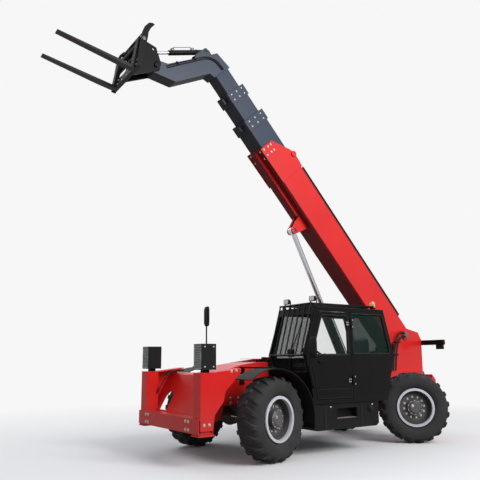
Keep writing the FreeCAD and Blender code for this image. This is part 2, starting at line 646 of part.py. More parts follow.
def hood_section(inset):
    """Section of the hood across the machine, drawn in by inset."""
    out, inn = S.hood_out - inset, S.hood_in
    return [(-inn, S.hood_low), (-inn, S.hood_high - inset), (-out + 60, S.hood_high - S.hood_slope - inset),
            (-out, S.hood_high - S.hood_slope - 70), (-out + 10, S.hood_low)]


def hood():
    """Engine bay walls and the hood over them, a bent sheet hinged along its inner top edge."""
    rear, front = S.hood_rear, S.hood_front
    length, middle = front - rear, (front + rear) / 2
    skin, wall = S.hood_sheet, S.bay_wall
    gap = skin + S.part_gap
    seat, face = -S.rail_y - S.hairline, -S.rail_y - wall
    edge, below = -S.hood_in + 5, S.hood_low - 5
    outer = plate("yz", hood_section(0), length, middle)
    room = [(edge, below), (edge, S.hood_high - skin), *hood_section(skin)[2:4],
            (-S.hood_out + 10 + skin, below)]
    hollow = plate("yz", room, length + 10, middle)
    ends = [plate("yz", hood_section(gap), wall, x) for x in (rear + wall / 2 + 10, front - wall / 2 - 10)]
    inside = box((rear + 10, -S.hood_in - 6, S.hood_low), (front - 10, seat, S.hood_high - gap))
    back = cut(inside, [box((rear + 20, -S.hood_in - 7, S.hood_low + 20),
                            (front - 20, face, S.hood_high - gap + 1))])
    foot = box((rear + 70, face, S.box_high - 120), (front - 70, seat, S.hood_low + 1))
    axis = (-S.hood_in + 8, S.hood_high + S.hinge_barrel)
    bay, lid = hood_hinges(axis, seat, face, S.hood_high - gap - 20)
    bores = [rod(S.hinge_bolt + S.pin_fit, (rear, *axis), length, "x")]
    slots = []
    for i in range(int(S.louvre_count.value)):
        low = S.hood_low + 110 + i * S.louvre_pitch
        start = rear + S.louvre_back
        slots.append(box((start, -S.hood_out - 1, low),
                         (start + S.louvre_long, -S.hood_out + 40, low + S.louvre_slot)))
    node("engine_bay", fuse(ends + [back, foot] + bay))
    node("engine_hood", cut(fuse([cut(outer, [hollow] + slots)] + lid), bores))


def hood_hinges(axis, seat, face, low):
    """Hinge brackets and bolts of the bay, and the barrels of the hood, at two places."""
    y, z = axis
    bay, lid = [], []
    for x in (S.hood_rear + 260, S.hood_front - 260):
        lid.append(rod(S.hinge_barrel, (x - 50, y, z), 100, "x"))
        lid.append(box((x - 50, -S.hood_in - 60, S.hood_high - 2), (x + 50, y, S.hood_high + 6)))
        bay.append(rod(S.hinge_bolt, (x - 85, y, z), 170, "x"))
        for near in (x - 85, x + 50 + S.hairline):
            far = near + 35 - S.hairline
            bay.append(box((near, y, z - 15), (far, seat, z + 15)))
            bay.append(box((near, face, low), (far, seat, z)))
    return bay, lid


def cab_profile(inset):
    """Side outline of the cab, drawn in by inset."""
    return [(S.cab_rear_low + inset, S.cab_low + inset), (S.cab_front_low - inset, S.cab_low + inset),
            (S.cab_front_low + 30 - inset, S.cab_low + S.cab_knee),
            (S.cab_front_mid - inset * 1.1, S.cab_waist),
            (S.cab_front_top - inset * 0.9, S.cab_high - inset), (S.cab_rear_top + inset, S.cab_high - inset),
            (S.cab_rear + inset, S.cab_waist)]


DOOR_HINGES = (1080, 1960)
BACK_DEEP = S.cab_rear_top - S.cab_rear + 140
BACK_X = (S.cab_rear_top + S.cab_rear) / 2 + 20
HINGE_Y = S.cab_out + S.hinge_barrel + 1


def cab():
    """Hollow cab shell with its windows and door opening cut, its panes and its door."""
    mid_y = (S.cab_in + S.cab_out) / 2
    width = S.cab_out - S.cab_in
    wall = S.cab_wall
    shell = cut(plate("xz", cab_profile(0), width, mid_y),
                [plate("xz", cab_profile(wall), width - 2 * wall, mid_y)])
    edge = S.window_edge
    # side windows, the same on both sides but for the door opening on the left
    rear_pane = [(S.cab_rear + wall + edge, S.cab_waist + 10), (S.door_rear - edge, S.cab_waist + 10),
                 (S.door_rear - edge, S.cab_high - 2 * edge), (S.cab_rear_top + wall, S.cab_high - 2 * edge)]
    lean = (S.cab_front_mid - S.cab_front_top) / (S.cab_high - S.cab_waist)
    front_pane = [(S.door_rear + edge, S.cab_waist - 60), (S.cab_front_mid - 3 * edge, S.cab_waist - 60),
                  (S.cab_front_mid - 3 * edge, S.cab_waist + 20),
                  (S.cab_front_top - 2 * edge + lean * edge, S.cab_high - 2 * edge),
                  (S.door_rear + edge, S.cab_high - 2 * edge)]
    left, right = S.cab_out - wall / 2, S.cab_in + wall / 2
    deep = wall + 20
    screen = plate("yz", screen_outline(0), S.screen_deep, S.cab_front_mid - S.screen_back)
    back = plate("yz", back_outline(0), BACK_DEEP, BACK_X)
    roof = box((S.cab_rear_top + 150, S.cab_in + 130, S.cab_high - 80),
               (S.cab_front_top - 150, S.cab_out - 130, S.cab_high + 20))
    holes = [plate("xz", rear_pane, deep, left), plate("xz", rear_pane, deep, right),
             plate("xz", front_pane, deep, right), plate("xz", door_outline(0), deep, left),
             screen, back, roof]
    hinges = []
    for z in DOOR_HINGES:
        hinges.append(rod(S.hinge_bolt, (S.door_rear, HINGE_Y, z - 70), 140))
        for near in (z - 70, z + 40 + S.hairline):
            hinges.append(box((S.door_rear - 60, S.cab_out - 2, near),
                              (S.door_rear + 8, HINGE_Y + 8, near + 30 - S.hairline)))
    node("cab_shell", fuse([cut(shell, holes)] + hinges))
    panes(rear_pane, front_pane, mid_y, width)
    door()


def framed(low_y, high_y, low_z, high_z, fit):
    """Corners of an upright window, drawn in by fit."""
    return [(low_y + fit, low_z + fit), (high_y - fit, low_z + fit), (high_y - fit, high_z - fit),
            (low_y + fit, high_z - fit)]


def screen_outline(fit):
    """Windscreen seen from the front, drawn in by fit."""
    edge = S.window_edge
    low, high = S.cab_waist - S.screen_sill, S.cab_high - S.screen_head
    return framed(S.cab_in + edge, S.cab_out - edge, low, high, fit)


def back_outline(fit):
    """Rear window seen from behind, drawn in by fit."""
    low, high = S.cab_waist + S.window_edge, S.cab_high - 2 * S.window_edge
    return framed(S.cab_in + S.back_edge, S.cab_out - S.back_edge, low, high, fit)


def door_outline(fit):
    """Door opening seen from the left, drawn in by fit."""
    edge, sill, head = S.window_edge, S.cab_low + S.door_sill, S.cab_high - S.door_head
    return [(S.door_rear + fit, sill + fit), (S.cab_front_low - S.door_toe - fit, sill + fit),
            (S.cab_front_low - S.door_knee - fit, S.cab_low + S.cab_knee),
            (S.cab_front_mid - edge - 40 - fit, S.cab_waist), (S.cab_front_top - edge - 10 - fit, head - fit),
            (S.door_rear + fit, head - fit)]


def shrink(points, fit):
    """Moves each corner of a pane towards its middle by fit both ways."""
    mid_a = sum(Dim.of(a).value for a, b in points) / len(points)
    mid_b = sum(Dim.of(b).value for a, b in points) / len(points)
    moved = []
    for a, b in points:
        a, b = Dim.of(a), Dim.of(b)
        moved.append((a - fit if a.value > mid_a else a + fit, b - fit if b.value > mid_b else b + fit))
    return moved


def panes(rear_pane, front_pane, mid_y, width):
    """Cab glass: each pane lies in its own opening."""
    fit, glass, wall = S.glass_fit, S.glass, S.cab_wall
    left, right = S.cab_out - wall / 2, S.cab_in + wall / 2
    # windscreen and rear window follow the shell's own outline
    skin = cut(plate("xz", cab_profile(wall / 2 - glass / 2), width, mid_y),
               [plate("xz", cab_profile(wall / 2 + glass / 2), width + 10, mid_y)])
    front = plate("yz", screen_outline(fit), S.screen_deep - 2, S.cab_front_mid - S.screen_back)
    back = plate("yz", back_outline(fit), BACK_DEEP - 2, BACK_X)
    picked = common(skin, group([front, back]))
    sides = [plate("xz", shrink(rear_pane, fit), glass, left),
             plate("xz", shrink(rear_pane, fit), glass, right),
             plate("xz", shrink(front_pane, fit), glass, right)]
    node("cab_glass", group([picked] + sides))


def door():
    """Door: a frame as thick as the wall, hinged at its rear edge, and its pane."""
    left = S.cab_out - S.cab_wall / 2
    rear, front = S.door_rear + S.window_edge + 15, S.cab_front_mid - S.window_edge - 110
    low, high = S.cab_waist - 10, S.cab_high - 130
    pane = [(rear, low), (front + 5, low), (front, low + 40), (S.cab_front_top - S.window_edge - 65, high),
            (rear, high)]
    panel = cut(plate("xz", door_outline(S.door_fit), S.cab_wall, left),
                [plate("xz", pane, S.cab_wall + 20, left)])
    handle = box((S.cab_front_low - 260, S.cab_out - 5, S.cab_waist - 130),
                 (S.cab_front_low - 120, S.cab_out + 22, S.cab_waist - 95))
    straps = []
    for z in DOOR_HINGES:
        straps.append(rod(S.hinge_barrel, (S.door_rear, HINGE_Y, z - 40), 80))
        straps.append(box((S.door_rear, S.cab_out - 2, z - 35), (S.door_rear + 90, S.cab_out + 8, z + 35)))
    bore = rod(S.hinge_bolt + S.pin_fit, (S.door_rear, HINGE_Y, S.cab_low), S.cab_high - S.cab_low)
    node("cab_door", cut(fuse([panel, handle] + straps), [bore]))
    node("door_glass", plate("xz", shrink(pane, S.glass_fit), S.glass, left))


def cab_inside():
    """Seat, console, steering column and wheel."""
    floor = S.cab_low + S.cab_wall
    mid = (S.cab_in + S.cab_out) / 2
    base = fuse([box((-420, mid - 200, floor + S.hairline), (20, mid + 200, floor + 120)),
                 box((-380, mid - 170, floor + 100), (-20, mid + 170, floor + 260))])
    node("seat_base", base)
    cushion = box((-430, mid - S.seat_half, floor + 260 + 2 * S.hairline),
                  (60, mid + S.seat_half, floor + S.seat_high))
    seat_front = -430 - S.hairline
    back = plate("xz", [(-520, floor + 300), (seat_front, floor + 300), (-470, floor + 960),
                        (-600, floor + 960)], 2 * S.seat_half - 40, mid)
    node("seat_cushions", group([cushion, back]))
    console = plate("xz", [(560, floor + S.hairline), (760, floor + S.hairline), (780, floor + 500),
                           (700, floor + 560), (600, floor + 520)], 360, mid)
    # the column and the wheel lean back, with the wheel at the column's end
    back_share, up_share = 0.574, 0.819
    foot_x, foot_z, reach = 620, floor + 480, 250
    hub_x, hub_z = foot_x - reach * back_share, foot_z + reach * up_share
    column = move(rod(28, (0, 0, 0), 260), (foot_x, mid, foot_z), (0, -1, 0), S.column_lean)
    wheel = doc.addObject("Part::Torus", "Rim")
    bind(wheel, "Radius1", S.wheel_ring)
    bind(wheel, "Radius2", S.wheel_rod)
    move(wheel, (hub_x, mid, hub_z), (0, -1, 0), S.column_lean)
    half = 180
    end_x, end_z = hub_x - half * up_share, hub_z - half * back_share
    spoke = move(box((-half, -12, -8), (half, 12, 8)), (end_x, mid - 12, end_z - 8), (0, -1, 0),
                 S.column_lean)
    node("steering_console", fuse([console, column, wheel, spoke]))


def cab_guard():
    """Bars over the windscreen and the roof."""
    low, high = S.cab_waist - 20, S.cab_high + 60
    front, top, rear = S.cab_front_mid + 20, S.cab_front_top + 46, S.cab_rear_top + 160
    bent = [(front, low), (front + 16, low), (top, high), (rear, high), (rear, high - 16),
            (top - 14, high - 16)]
    start, end = S.cab_in + S.guard_inset, S.cab_out - S.guard_inset
    gaps = int(S.guard_bars.value) - 1
    pieces = [plate("xz", bent, S.guard_bar, start + i * (end - start) / gaps) for i in range(gaps + 1)]
    for x, z in ((front + 8, low + 10), (top - 11, high - 10), (rear + 10, high - 10)):
        pieces.append(bar_y(S.guard_tube, x, z, (S.cab_out - S.cab_in) / 2 - 50, (S.cab_in + S.cab_out) / 2))
    for x in (S.cab_front_top - 20, rear + 10):
        for y in (start, end):
            pieces.append(box((x - 12, y - 12, S.cab_high + S.hairline), (x + 12, y + 12, high - 10)))
    node("cab_guard", fuse(pieces))


def nose_lamps():
    """Open lamp boxes on the posts, each on its stand."""
    boxes = []
    middle, half, wall = (S.post_in + S.beam_half) / 2, S.lamp_half, S.lamp_wall
    x0, z0 = S.beam_back - 40, S.post_high + 40
    x1, z1 = x0 + S.lamp_long, z0 + S.lamp_high
    for sign in (1, -1):
        y = sign * middle
        case = cut(box((x0, y - half, z0), (x1, y + half, z1)),
                   [box((x0 + 40, y - half + wall, z0 + wall), (x1 + 1, y + half - wall, z1 - wall))])
        lamp = rod(S.lamp_radius, (x0 + 39, y, (z0 + z1) / 2), 110, "x")
        stand = box((x0 + 65, y - 40, S.post_high + S.hairline), (x0 + 160, y + 40, z0 + 20))
        boxes.append(fuse([case, lamp, stand]))
    node("nose_lamps", group(boxes))


def roof_lamps():
    """Two work lamps and the beacon on the cab roof."""
    roof, front = S.cab_high, S.cab_front_top
    pieces = []
    for y in (S.cab_in + 130, S.cab_out - 130):
        foot = box((front - 90, y - 20, roof + S.hairline), (front - 60, y + 20, roof + 95))
        head = box((front - 100, y - S.work_lamp_half, roof + 90),
                   (front - 30, y + S.work_lamp_half, roof + 175))
        pieces.append(fuse([foot, head]))
    x, y = S.cab_rear_top + 90, S.cab_out - 140
    beacon = fuse([rod(S.beacon_foot, (x, y, roof + S.hairline), 40),
                   cone(S.beacon_low, S.beacon_high, (x, y, roof + 40), 110)])
    node("roof_lamps", group(pieces + [beacon]))


def mirrors():
    """Mirror on a stalk clamped to the far fender, and one on an arm from the cab's front pillar."""
    x, y, half = S.mirror_x, -S.wheel_y - 90, S.mirror_half
    fender_top = AXLE_Z + S.fender_radius
    fender = bar_y(S.fender_radius + S.fender_sheet + S.hairline, S.wheelbase / 2, AXLE_Z, 60, y)
    stand = rod(S.stalk_radius, (x, y, fender_top), 1085)
    glass = box((x - 20, y - half, S.mirror_low), (x + 25, y + half, S.mirror_high))
    foot = cut(box((x - 40, y - 40, fender_top - 80), (x + 40, y + 40, fender_top + 10)), [fender])
    x, y, z = S.cab_front_mid - 60, S.cab_out, S.cab_waist - 60
    arm = box((x, y + S.hairline, z), (x + 30, y + 120, z + 20))
    face = box((x - 10, y + 60, z), (x + 30, y + 200, z + 320))
    node("mirrors", group([fuse([stand, glass, foot]), fuse([arm, face])]))


# Boom

def bar_s(s0, s1, width, depth):
    """Bar along the boom with its four long edges cut off."""
    n, half, rise, corner = -S.boom_drop, width / 2, depth / 2, S.tube_corner
    points = [(half - corner, n - rise), (half, n - rise + corner), (half, n + rise - corner),
              (half - corner, n + rise), (corner - half, n + rise), (-half, n + rise - corner),
              (-half, n - rise + corner), (corner - half, n - rise)]
    return plate("yz", points, s1 - s0, (s0 + s1) / 2)


def tube(s0, s1, width, depth, wall, opening):
    """Bar of the boom between two stations, with the tools of its hollow and its front opening."""
    hollow = bar_s(s0 - 1, s1 - S.collar, width - 2 * wall, depth - 2 * wall)
    return bar_s(s0, s1, width, depth), [hollow, bar_s(s1 - S.collar - 2, s1 + 1, *opening)]


def lug_pair(s, n, radius, root_n, half_gap, thick):
    """Two plates with a bore that hold a rod's eye between them."""
    plates = []
    for sign in (1, -1):
        y = sign * (half_gap + thick / 2)
        points = [(s - 150, root_n), (s - 55, n - 40), (s - 25, n - radius), (s + 25, n - radius),
                  (s + 55, n - 40), (s + 150, root_n)]
        plates.append(plate("xz", points, thick, y))
    return plates


def boom():
    """The four boom sections, the head and the tray of hoses on top."""
    n, fit = -S.boom_drop, 2 * S.pad_fit
    sizes = [(S.boom_width, S.boom_depth)]
    for _ in range(3):
        width, depth = sizes[-1]
        sizes.append((width - S.step_width, depth - S.step_depth))
    openings = [(width + fit, depth + fit) for width, depth in sizes[1:]]
    boom_outer(n, sizes[0], openings[0])
    front = S.boom_length + S.rest_reach + S.collar
    for name, size, opening in zip(("boom_second", "boom_third"), sizes[1:3], openings[1:]):
        boom_section(name, n, front, size, opening)
        front = front + S.rest_reach + S.collar
    width, depth = sizes[3]
    front, tail = front - S.collar, front - S.section_length
    hollow = bar_s(tail - 1, front - 60, width - 2 * S.boom_wall, depth - 2 * S.boom_wall)
    boom_node("boom_inner", cut(bar_s(tail, front, width, depth), [hollow]))
    boom_head(front, n, depth)


def boom_outer(n, size, opening):
    """Outer section with its cheeks, pivot boss, lift lugs and bumper rail, and the hose tray on it."""
    w, d = size
    body, tools = tube(-S.boom_back, S.boom_length, w, d, S.boom_wall, opening)
    top, low = n + d / 2, n - d / 2
    end, sheet = S.boom_length, S.cheek_plate
    cheek = [(end - S.cheek_back, top), (end - 420, top + 20), (end, n + 10), (end, low - sheet),
             (end - S.cheek_back, low)]
    cheeks = [plate("xz", cheek, sheet, sign * (w + sheet) / 2) for sign in (1, -1)]
    bosses = [bar_y(55, end - 450, top - 20, w / 2 + 30),
              bar_y(110, 0, 0, S.tower_y - S.tower_plate - 5)]
    gap = S.eye_half + S.lug_gap
    lugs = lug_pair(S.lift_pin_s, S.lift_pin_n, S.eye_radius, low + 5, gap, S.lug_plate)
    rail = box((S.lift_pin_s + 160, -S.bumper_half, low - 60), (end - 40, S.bumper_half, low + 4))
    slant = plate("xz", [(end - 400, top + 60), (end - 400, top + 24), (end + 10, n + 4),
                         (end + 10, top + 60)], w + 120)
    bore = bar_y(S.pivot_pin + S.pin_fit, 0, 0, S.tower_y)
    eye = bar_y(S.eye_hole, S.lift_pin_s, S.lift_pin_n, 2 * gap)
    boom_node("boom_outer", cut(fuse([body, rail] + bosses + cheeks + lugs), tools + [slant, bore, eye]))
    tray = cut(box((300, -150, top + S.hairline), (end - 760, 150, top + 75)),
               [box((299, -138, top + 12), (end - 759, 138, top + 76))])
    boom_node("hose_tray", tray)


def boom_section(name, n, front, size, opening):
    """Sliding section with the collar band, wear pad and knob at its front end."""
    width, depth = size
    section, tools = tube(front - S.section_length, front, width, depth, S.boom_wall, opening)
    band = bar_s(front - S.collar, front, width + 2 * S.collar_wall, depth + 2 * S.collar_wall)
    under, over = n - depth / 2 - S.collar_wall, n + depth / 2
    pad = box((front - 130, -S.bumper_half, under - S.bumper), (front - 30, S.bumper_half, under + 2))
    knob = box((front - 150, 40 - width / 2, over),
               (front - 20, width / 2 - 40, over + S.collar_wall + 25))
    boom_node(name, cut(fuse([section, band, pad, knob]), tools))


def boom_head(front, n, depth):
    """Dropped head: a bent box with the hinge eye of the carriage at its lower end."""
    s0, hs, hn = front + S.hairline, HINGE_S, S.hinge_n
    low, high = n - depth / 2, n + depth / 2
    points = [(s0, low - 20), (s0, high + 30), (HEAD_BEND, high - 30), (hs - 186, hn + 621),
              (hs - 80, hn + 230), (hs + 85, hn + 60), (hs + 60, hn - 95), (hs - 85, hn - 100),
              (hs - 385, hn + 150), (s0 + 95, low - 60)]
    shell = plate("xz", points, S.head_width)
    inner = doc.addObject("Part::Offset2D", "HeadInner")
    inner.Source = outline("xz", points, 0)
    inner.setExpression("Value", "-1 * Sizes.head_wall")
    inner.Join = 2
    hollow = doc.addObject("Part::Extrusion", "HeadHollow")
    hollow.Base = inner
    hollow.DirMode = "Custom"
    hollow.Dir = FreeCAD.Vector(0, 1, 0)
    hollow.Solid = True
    hollow.Symmetric = True
    bind(hollow, "LengthFwd", S.head_width - 2 * S.head_wall)
    boss = bar_y(100, hs, hn, S.head_width / 2)
    bore = bar_y(S.hinge_pin, hs, hn, S.head_width)
    s, up = TILT_BASE_S, S.tilt_base_n
    ear = [(s - 40, up - 330), (s - 150, up + 40), (s - 20, up + 50), (s + 45, up + 20), (s + 45, up - 250)]
    middle = S.eye_half + S.lug_gap + S.tilt_ear / 2
    ears = [plate("xz", ear, S.tilt_ear, sign * middle) for sign in (1, -1)]
    pin = bar_y(S.tilt_pin, s, up, S.eye_half + 40)
    boom_node("boom_head", cut(fuse([cut(shell, [hollow]), boss, pin] + ears), [bore]))


# Cylinders

def lift_cylinder():
    """Lift cylinder between the chassis and the boom's lugs, opened at the rod's eye."""
    pin_x, pin_z = boom_point(S.lift_pin_s, S.lift_pin_n)
    run, rise = pin_x - S.lift_base_x, pin_z - S.lift_base_z
    angle = slope(rise, run)
    length = span(rise, run)
    at = (S.lift_base_x, 0, S.lift_base_z)
    barrel = fuse([rod(S.lift_bore, (60, 0, 0), S.lift_barrel - 60, "x"), bar_y(S.base_eye, 0, 0, S.eye_half),
                   rod(S.lift_bore + S.gland_rise, (S.lift_barrel - S.gland_long, 0, 0), S.gland_long, "x")])
    hole = rod(S.lift_rod + S.pin_fit, (S.lift_barrel - S.lift_rod_in, 0, 0), S.lift_rod_in + 10, "x")
    trunnion = bar_y(S.base_pin + S.pin_fit, 0, 0, S.eye_half + 10)
    node("lift_barrel", cut(barrel, [hole, trunnion]), at, (0, -1, 0), angle)
    eye = bar_y(S.eye_radius, length, 0, S.eye_half)
    shank = rod(S.lift_rod, (length - S.lift_rod_in - 60, 0, 0), S.lift_rod_in + 20, "x")
    bore = bar_y(S.eye_hole, length, 0, S.eye_half + 10)
    node("lift_rod", cut(fuse([eye, shank]), [bore]), at, (0, -1, 0), angle)


def tilt_cylinder():
    """Tilt cylinder along the front of the head, opened at the rod's eye."""
    rel = S.fork_tilt - S.boom_angle
    pin_s = HINGE_S + S.tilt_pin_x * cosine(rel) - S.tilt_pin_z * sine(rel)
    pin_n = S.hinge_n + S.tilt_pin_x * sine(rel) + S.tilt_pin_z * cosine(rel)
    run, rise = pin_s - TILT_BASE_S, pin_n - S.tilt_base_n
    length = span(rise, run)
    angle = slope(rise, run) + S.boom_angle
    x, z = boom_point(TILT_BASE_S, S.tilt_base_n)
    barrel = fuse([rod(S.tilt_bore, (45, 0, 0), S.tilt_barrel - 45, "x"), bar_y(55, 0, 0, S.eye_half)])
    hole = rod(S.tilt_rod + S.pin_fit, (S.tilt_barrel - S.tilt_rod_in, 0, 0), S.tilt_rod_in + 40, "x")
    trunnion = bar_y(S.tilt_pin + S.pin_fit, 0, 0, S.eye_half + 35)
    node("tilt_barrel", cut(barrel, [hole, trunnion]), (x, 0, z), (0, -1, 0), angle)
    eye = bar_y(45, length, 0, S.eye_half - 5)
    shank = rod(S.tilt_rod, (length - S.tilt_rod_in, 0, 0), S.tilt_rod_in - 30, "x")
    bore = bar_y(S.tilt_hole, length, 0, S.eye_half + 35)
    node("tilt_rod", cut(fuse([eye, shank]), [bore]), (x, 0, z), (0, -1, 0), angle)


# Carriage and forks, X forward from the hinge pin

def carriage():
    """Fork carriage with its hinge plates, cross bars, backrest and the fork shaft."""
    half = S.carriage_half
    face = S.fork_face - S.fork_heel
    low, high = -S.fork_low, S.shank_high - S.fork_low
    inner = S.head_width / 2 + 5
    pin_x, pin_z, thick = S.tilt_pin_x, S.tilt_pin_z, S.lug_plate
    points = [(-75, -70), (face - 60, low + 60), (face - 35, low + 60), (face - 35, pin_z + 80),
              (face - 90, pin_z + 80), (pin_x - 40, pin_z + 50), (-75, 60)]
    side = [plate("xz", points, thick, sign * (inner + thick / 2)) for sign in (1, -1)]
    bars = [box((face - 60, -half, low + 30), (face + 3.7, half, low + 170)),
            box((face - 60, -half, high - 190), (face - 30, half, high - 125))]
    shaft = bar_y(S.shaft_radius, face - 5, high - 55, half)
    crest = S.backrest
    horn = [(face - 62, low + 20), (face + 10, low + 20), (face + 34, high - 60), (face + 36, high + 60),
            (face + 18, crest - 110), (face - 30, crest - 25), (face - 85, crest), (face - 125, crest - 10),
            (face - 80, crest - 90), (face - 55, high + 80), (face - 62, high)]
    uprights = [plate("xz", horn, 30, sign * (half - 15)) for sign in (1, -1)]
    top = box((face - 105, -half, crest - 40), (face - 75, half, crest - 8))
    grid = [box((face - 40, -half, crest - 120), (face - 20, half, crest - 92))]
    rib = [(face - 50, high - 120), (face - 30, high - 120), (face - 20, crest - 100),
           (face - 80, crest - 10), (face - 100, crest - 20), (face - 40, crest - 105)]
    grid += [plate("xz", rib, 24, y) for y in (-190, 190)]
    pin = bar_y(S.hinge_pin - S.pin_fit, 0, 0, inner + 45)
    lug = [(pin_x - 38, pin_z + 38), (pin_x - 38, pin_z - 38), (face - 50, pin_z - 120),
           (face - 50, pin_z + 80)]
    middle = S.eye_half + S.lug_gap + S.tilt_ear / 2
    lugs = [plate("xz", lug, S.tilt_ear, sign * middle) for sign in (1, -1)]
    hole = bar_y(S.tilt_hole, pin_x, pin_z, half - 60)
    back = box((face - 62, -inner - 20, pin_z - 125), (face - 40, inner + 20, pin_z + 85))
    body = fuse(side + lugs + bars + [back] + uprights + [top] + grid + [shaft])
    carriage_node("carriage", fuse([cut(body, [hole]), pin]))
    forks(face, low, high)


def forks(face, low, high):
    """Two L forks that hang by their eyes on the shaft."""
    pair = []
    heel, tip = S.fork_heel, S.fork_tip
    for sign in (1, -1):
        y = sign * S.fork_y
        points = [(face + 4, low), (face + heel + 250, low), (face + S.fork_length, low + heel - tip),
                  (face + S.fork_length, low + heel), (face + heel + 29, low + heel),
                  (face + heel + 4, low + heel + 25), (face + heel + 4, high - 20), (face + 4, high - 20)]
        blade = plate("xz", points, S.fork_width, y)
        ring = bar_y(S.shaft_radius + 26, face - 5, high - 55, S.fork_width / 2, y)
        hook = box((face - 5, y - S.fork_width / 2, high - 80),
                   (face + heel, y + S.fork_width / 2, high - 30))
        eye = bar_y(S.shaft_radius + S.hairline, face - 5, high - 55, 90, y)
        pair.append(cut(fuse([blade, ring, hook]), [eye]))
    carriage_node("forks", group(pair))


running_gear()
frame_rails()
boom_tower()
counterweight()
nose_frame()
stabiliser_legs()
fenders()
lower_boxes()
engine()
hood()
cab()
cab_inside()
cab_guard()
nose_lamps()
roof_lamps()
mirrors()
boom()
lift_cylinder()
tilt_cylinder()
carriage()
doc.recompute()

# The overall box gives the shift that puts the origin under its middle.
whole = FreeCAD.BoundBox()
for sub_part in NODES:
    whole.add(sub_part.Shape.BoundBox)
sheet.set(sheet.getCellFromAlias("frame_x"), str(-round((whole.XMin + whole.XMax) / 2, 3)))
doc.recompute()

failed = [item.Name + " " + item.Label for item in doc.Objects
          if "Invalid" in item.State or "Error" in item.State]
failed += ["bad shape " + sub_part.Label for sub_part in NODES
           if sub_part.Shape.isNull() or not sub_part.Shape.isValid()]
if failed:
    raise RuntimeError("\n".join(failed))

os.makedirs("parts", exist_ok=True)
for sub_part in NODES:
    sub_part.Shape.exportStep("parts/%s.step" % sub_part.Label)
    b = sub_part.Shape.BoundBox
    print("%-22s solids %d volume %8.2f l  box %7.0f %7.0f %7.0f  %7.0f %7.0f %7.0f" % (
        sub_part.Label, len(sub_part.Shape.Solids), sub_part.Shape.Volume / 1e6,
        b.XMin, b.YMin, b.ZMin, b.XMax, b.YMax, b.ZMax))
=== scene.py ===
"""Looks of a telehandler with a raised boom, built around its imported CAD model."""
from __future__ import annotations

import functools
import json
import logging
import math
from collections.abc import Callable
from dataclasses import dataclass
from enum import Enum

import bmesh
import bpy
import numpy as np
from mathutils import Matrix, Vector


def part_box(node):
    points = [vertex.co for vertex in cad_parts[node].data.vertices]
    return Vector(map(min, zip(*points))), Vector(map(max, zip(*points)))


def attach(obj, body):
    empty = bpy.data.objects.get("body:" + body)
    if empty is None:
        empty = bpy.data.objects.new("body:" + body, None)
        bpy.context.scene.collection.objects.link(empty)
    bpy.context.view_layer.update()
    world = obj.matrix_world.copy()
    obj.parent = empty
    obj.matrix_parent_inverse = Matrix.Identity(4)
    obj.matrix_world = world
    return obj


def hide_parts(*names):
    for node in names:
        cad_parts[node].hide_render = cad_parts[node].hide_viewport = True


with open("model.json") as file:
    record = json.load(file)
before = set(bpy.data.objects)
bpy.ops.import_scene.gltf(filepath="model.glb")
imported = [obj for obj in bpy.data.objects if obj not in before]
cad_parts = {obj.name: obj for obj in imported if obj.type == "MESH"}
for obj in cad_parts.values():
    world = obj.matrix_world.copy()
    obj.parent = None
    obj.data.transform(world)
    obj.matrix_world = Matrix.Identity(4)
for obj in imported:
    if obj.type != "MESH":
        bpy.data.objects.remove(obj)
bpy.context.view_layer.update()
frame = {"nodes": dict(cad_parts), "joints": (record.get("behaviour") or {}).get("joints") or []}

LOG = logging.getLogger("telehandler")
SMOOTH_ANGLE = math.radians(32)
SIDES = (1, -1)

JOINTS = {joint["name"]: joint for joint in frame["joints"]}
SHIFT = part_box("rear_bar")[0].x + 2.830
Array = np.ndarray
Colour = tuple[float, float, float]
Pair = tuple[float, float]
Point = tuple[float, float, float]
Sides = tuple[float, float, float, float]
Outline = tuple[Pair, ...]


# Shading

def operation(name: str, swapped: bool = False, clamp: bool = False) -> Callable[..., Sock]:
    """Writes a method that adds one Math node.

    Args:
        name: Name of the node's operation.
        swapped: Whether the other value comes first.
        clamp: Whether the result is held between 0 and 1.

    Returns:
        The method, which gives the node's output.
    """
    def method(self: Sock, other: object = 1.0) -> Sock:
        """Adds the node to the socket's own tree."""
        pair = (other, self) if swapped else (self, other)
        settings = {"operation": name, "use_clamp": clamp}
        return self.tree.value("ShaderNodeMath", settings, dict(enumerate(pair)))

    return method


@dataclass(frozen=True)
class Sock:
    """A socket or a number whose arithmetic adds Math nodes to its tree."""

    tree: Tree
    link: object
    __add__ = operation("ADD")
    __radd__ = operation("ADD", swapped=True)
    __sub__ = operation("SUBTRACT")
    __rsub__ = operation("SUBTRACT", swapped=True)
    __mul__ = operation("MULTIPLY")
    __rmul__ = operation("MULTIPLY", swapped=True)
    __truediv__ = operation("DIVIDE")
    over = operation("GREATER_THAN")
    held = operation("MULTIPLY", clamp=True)


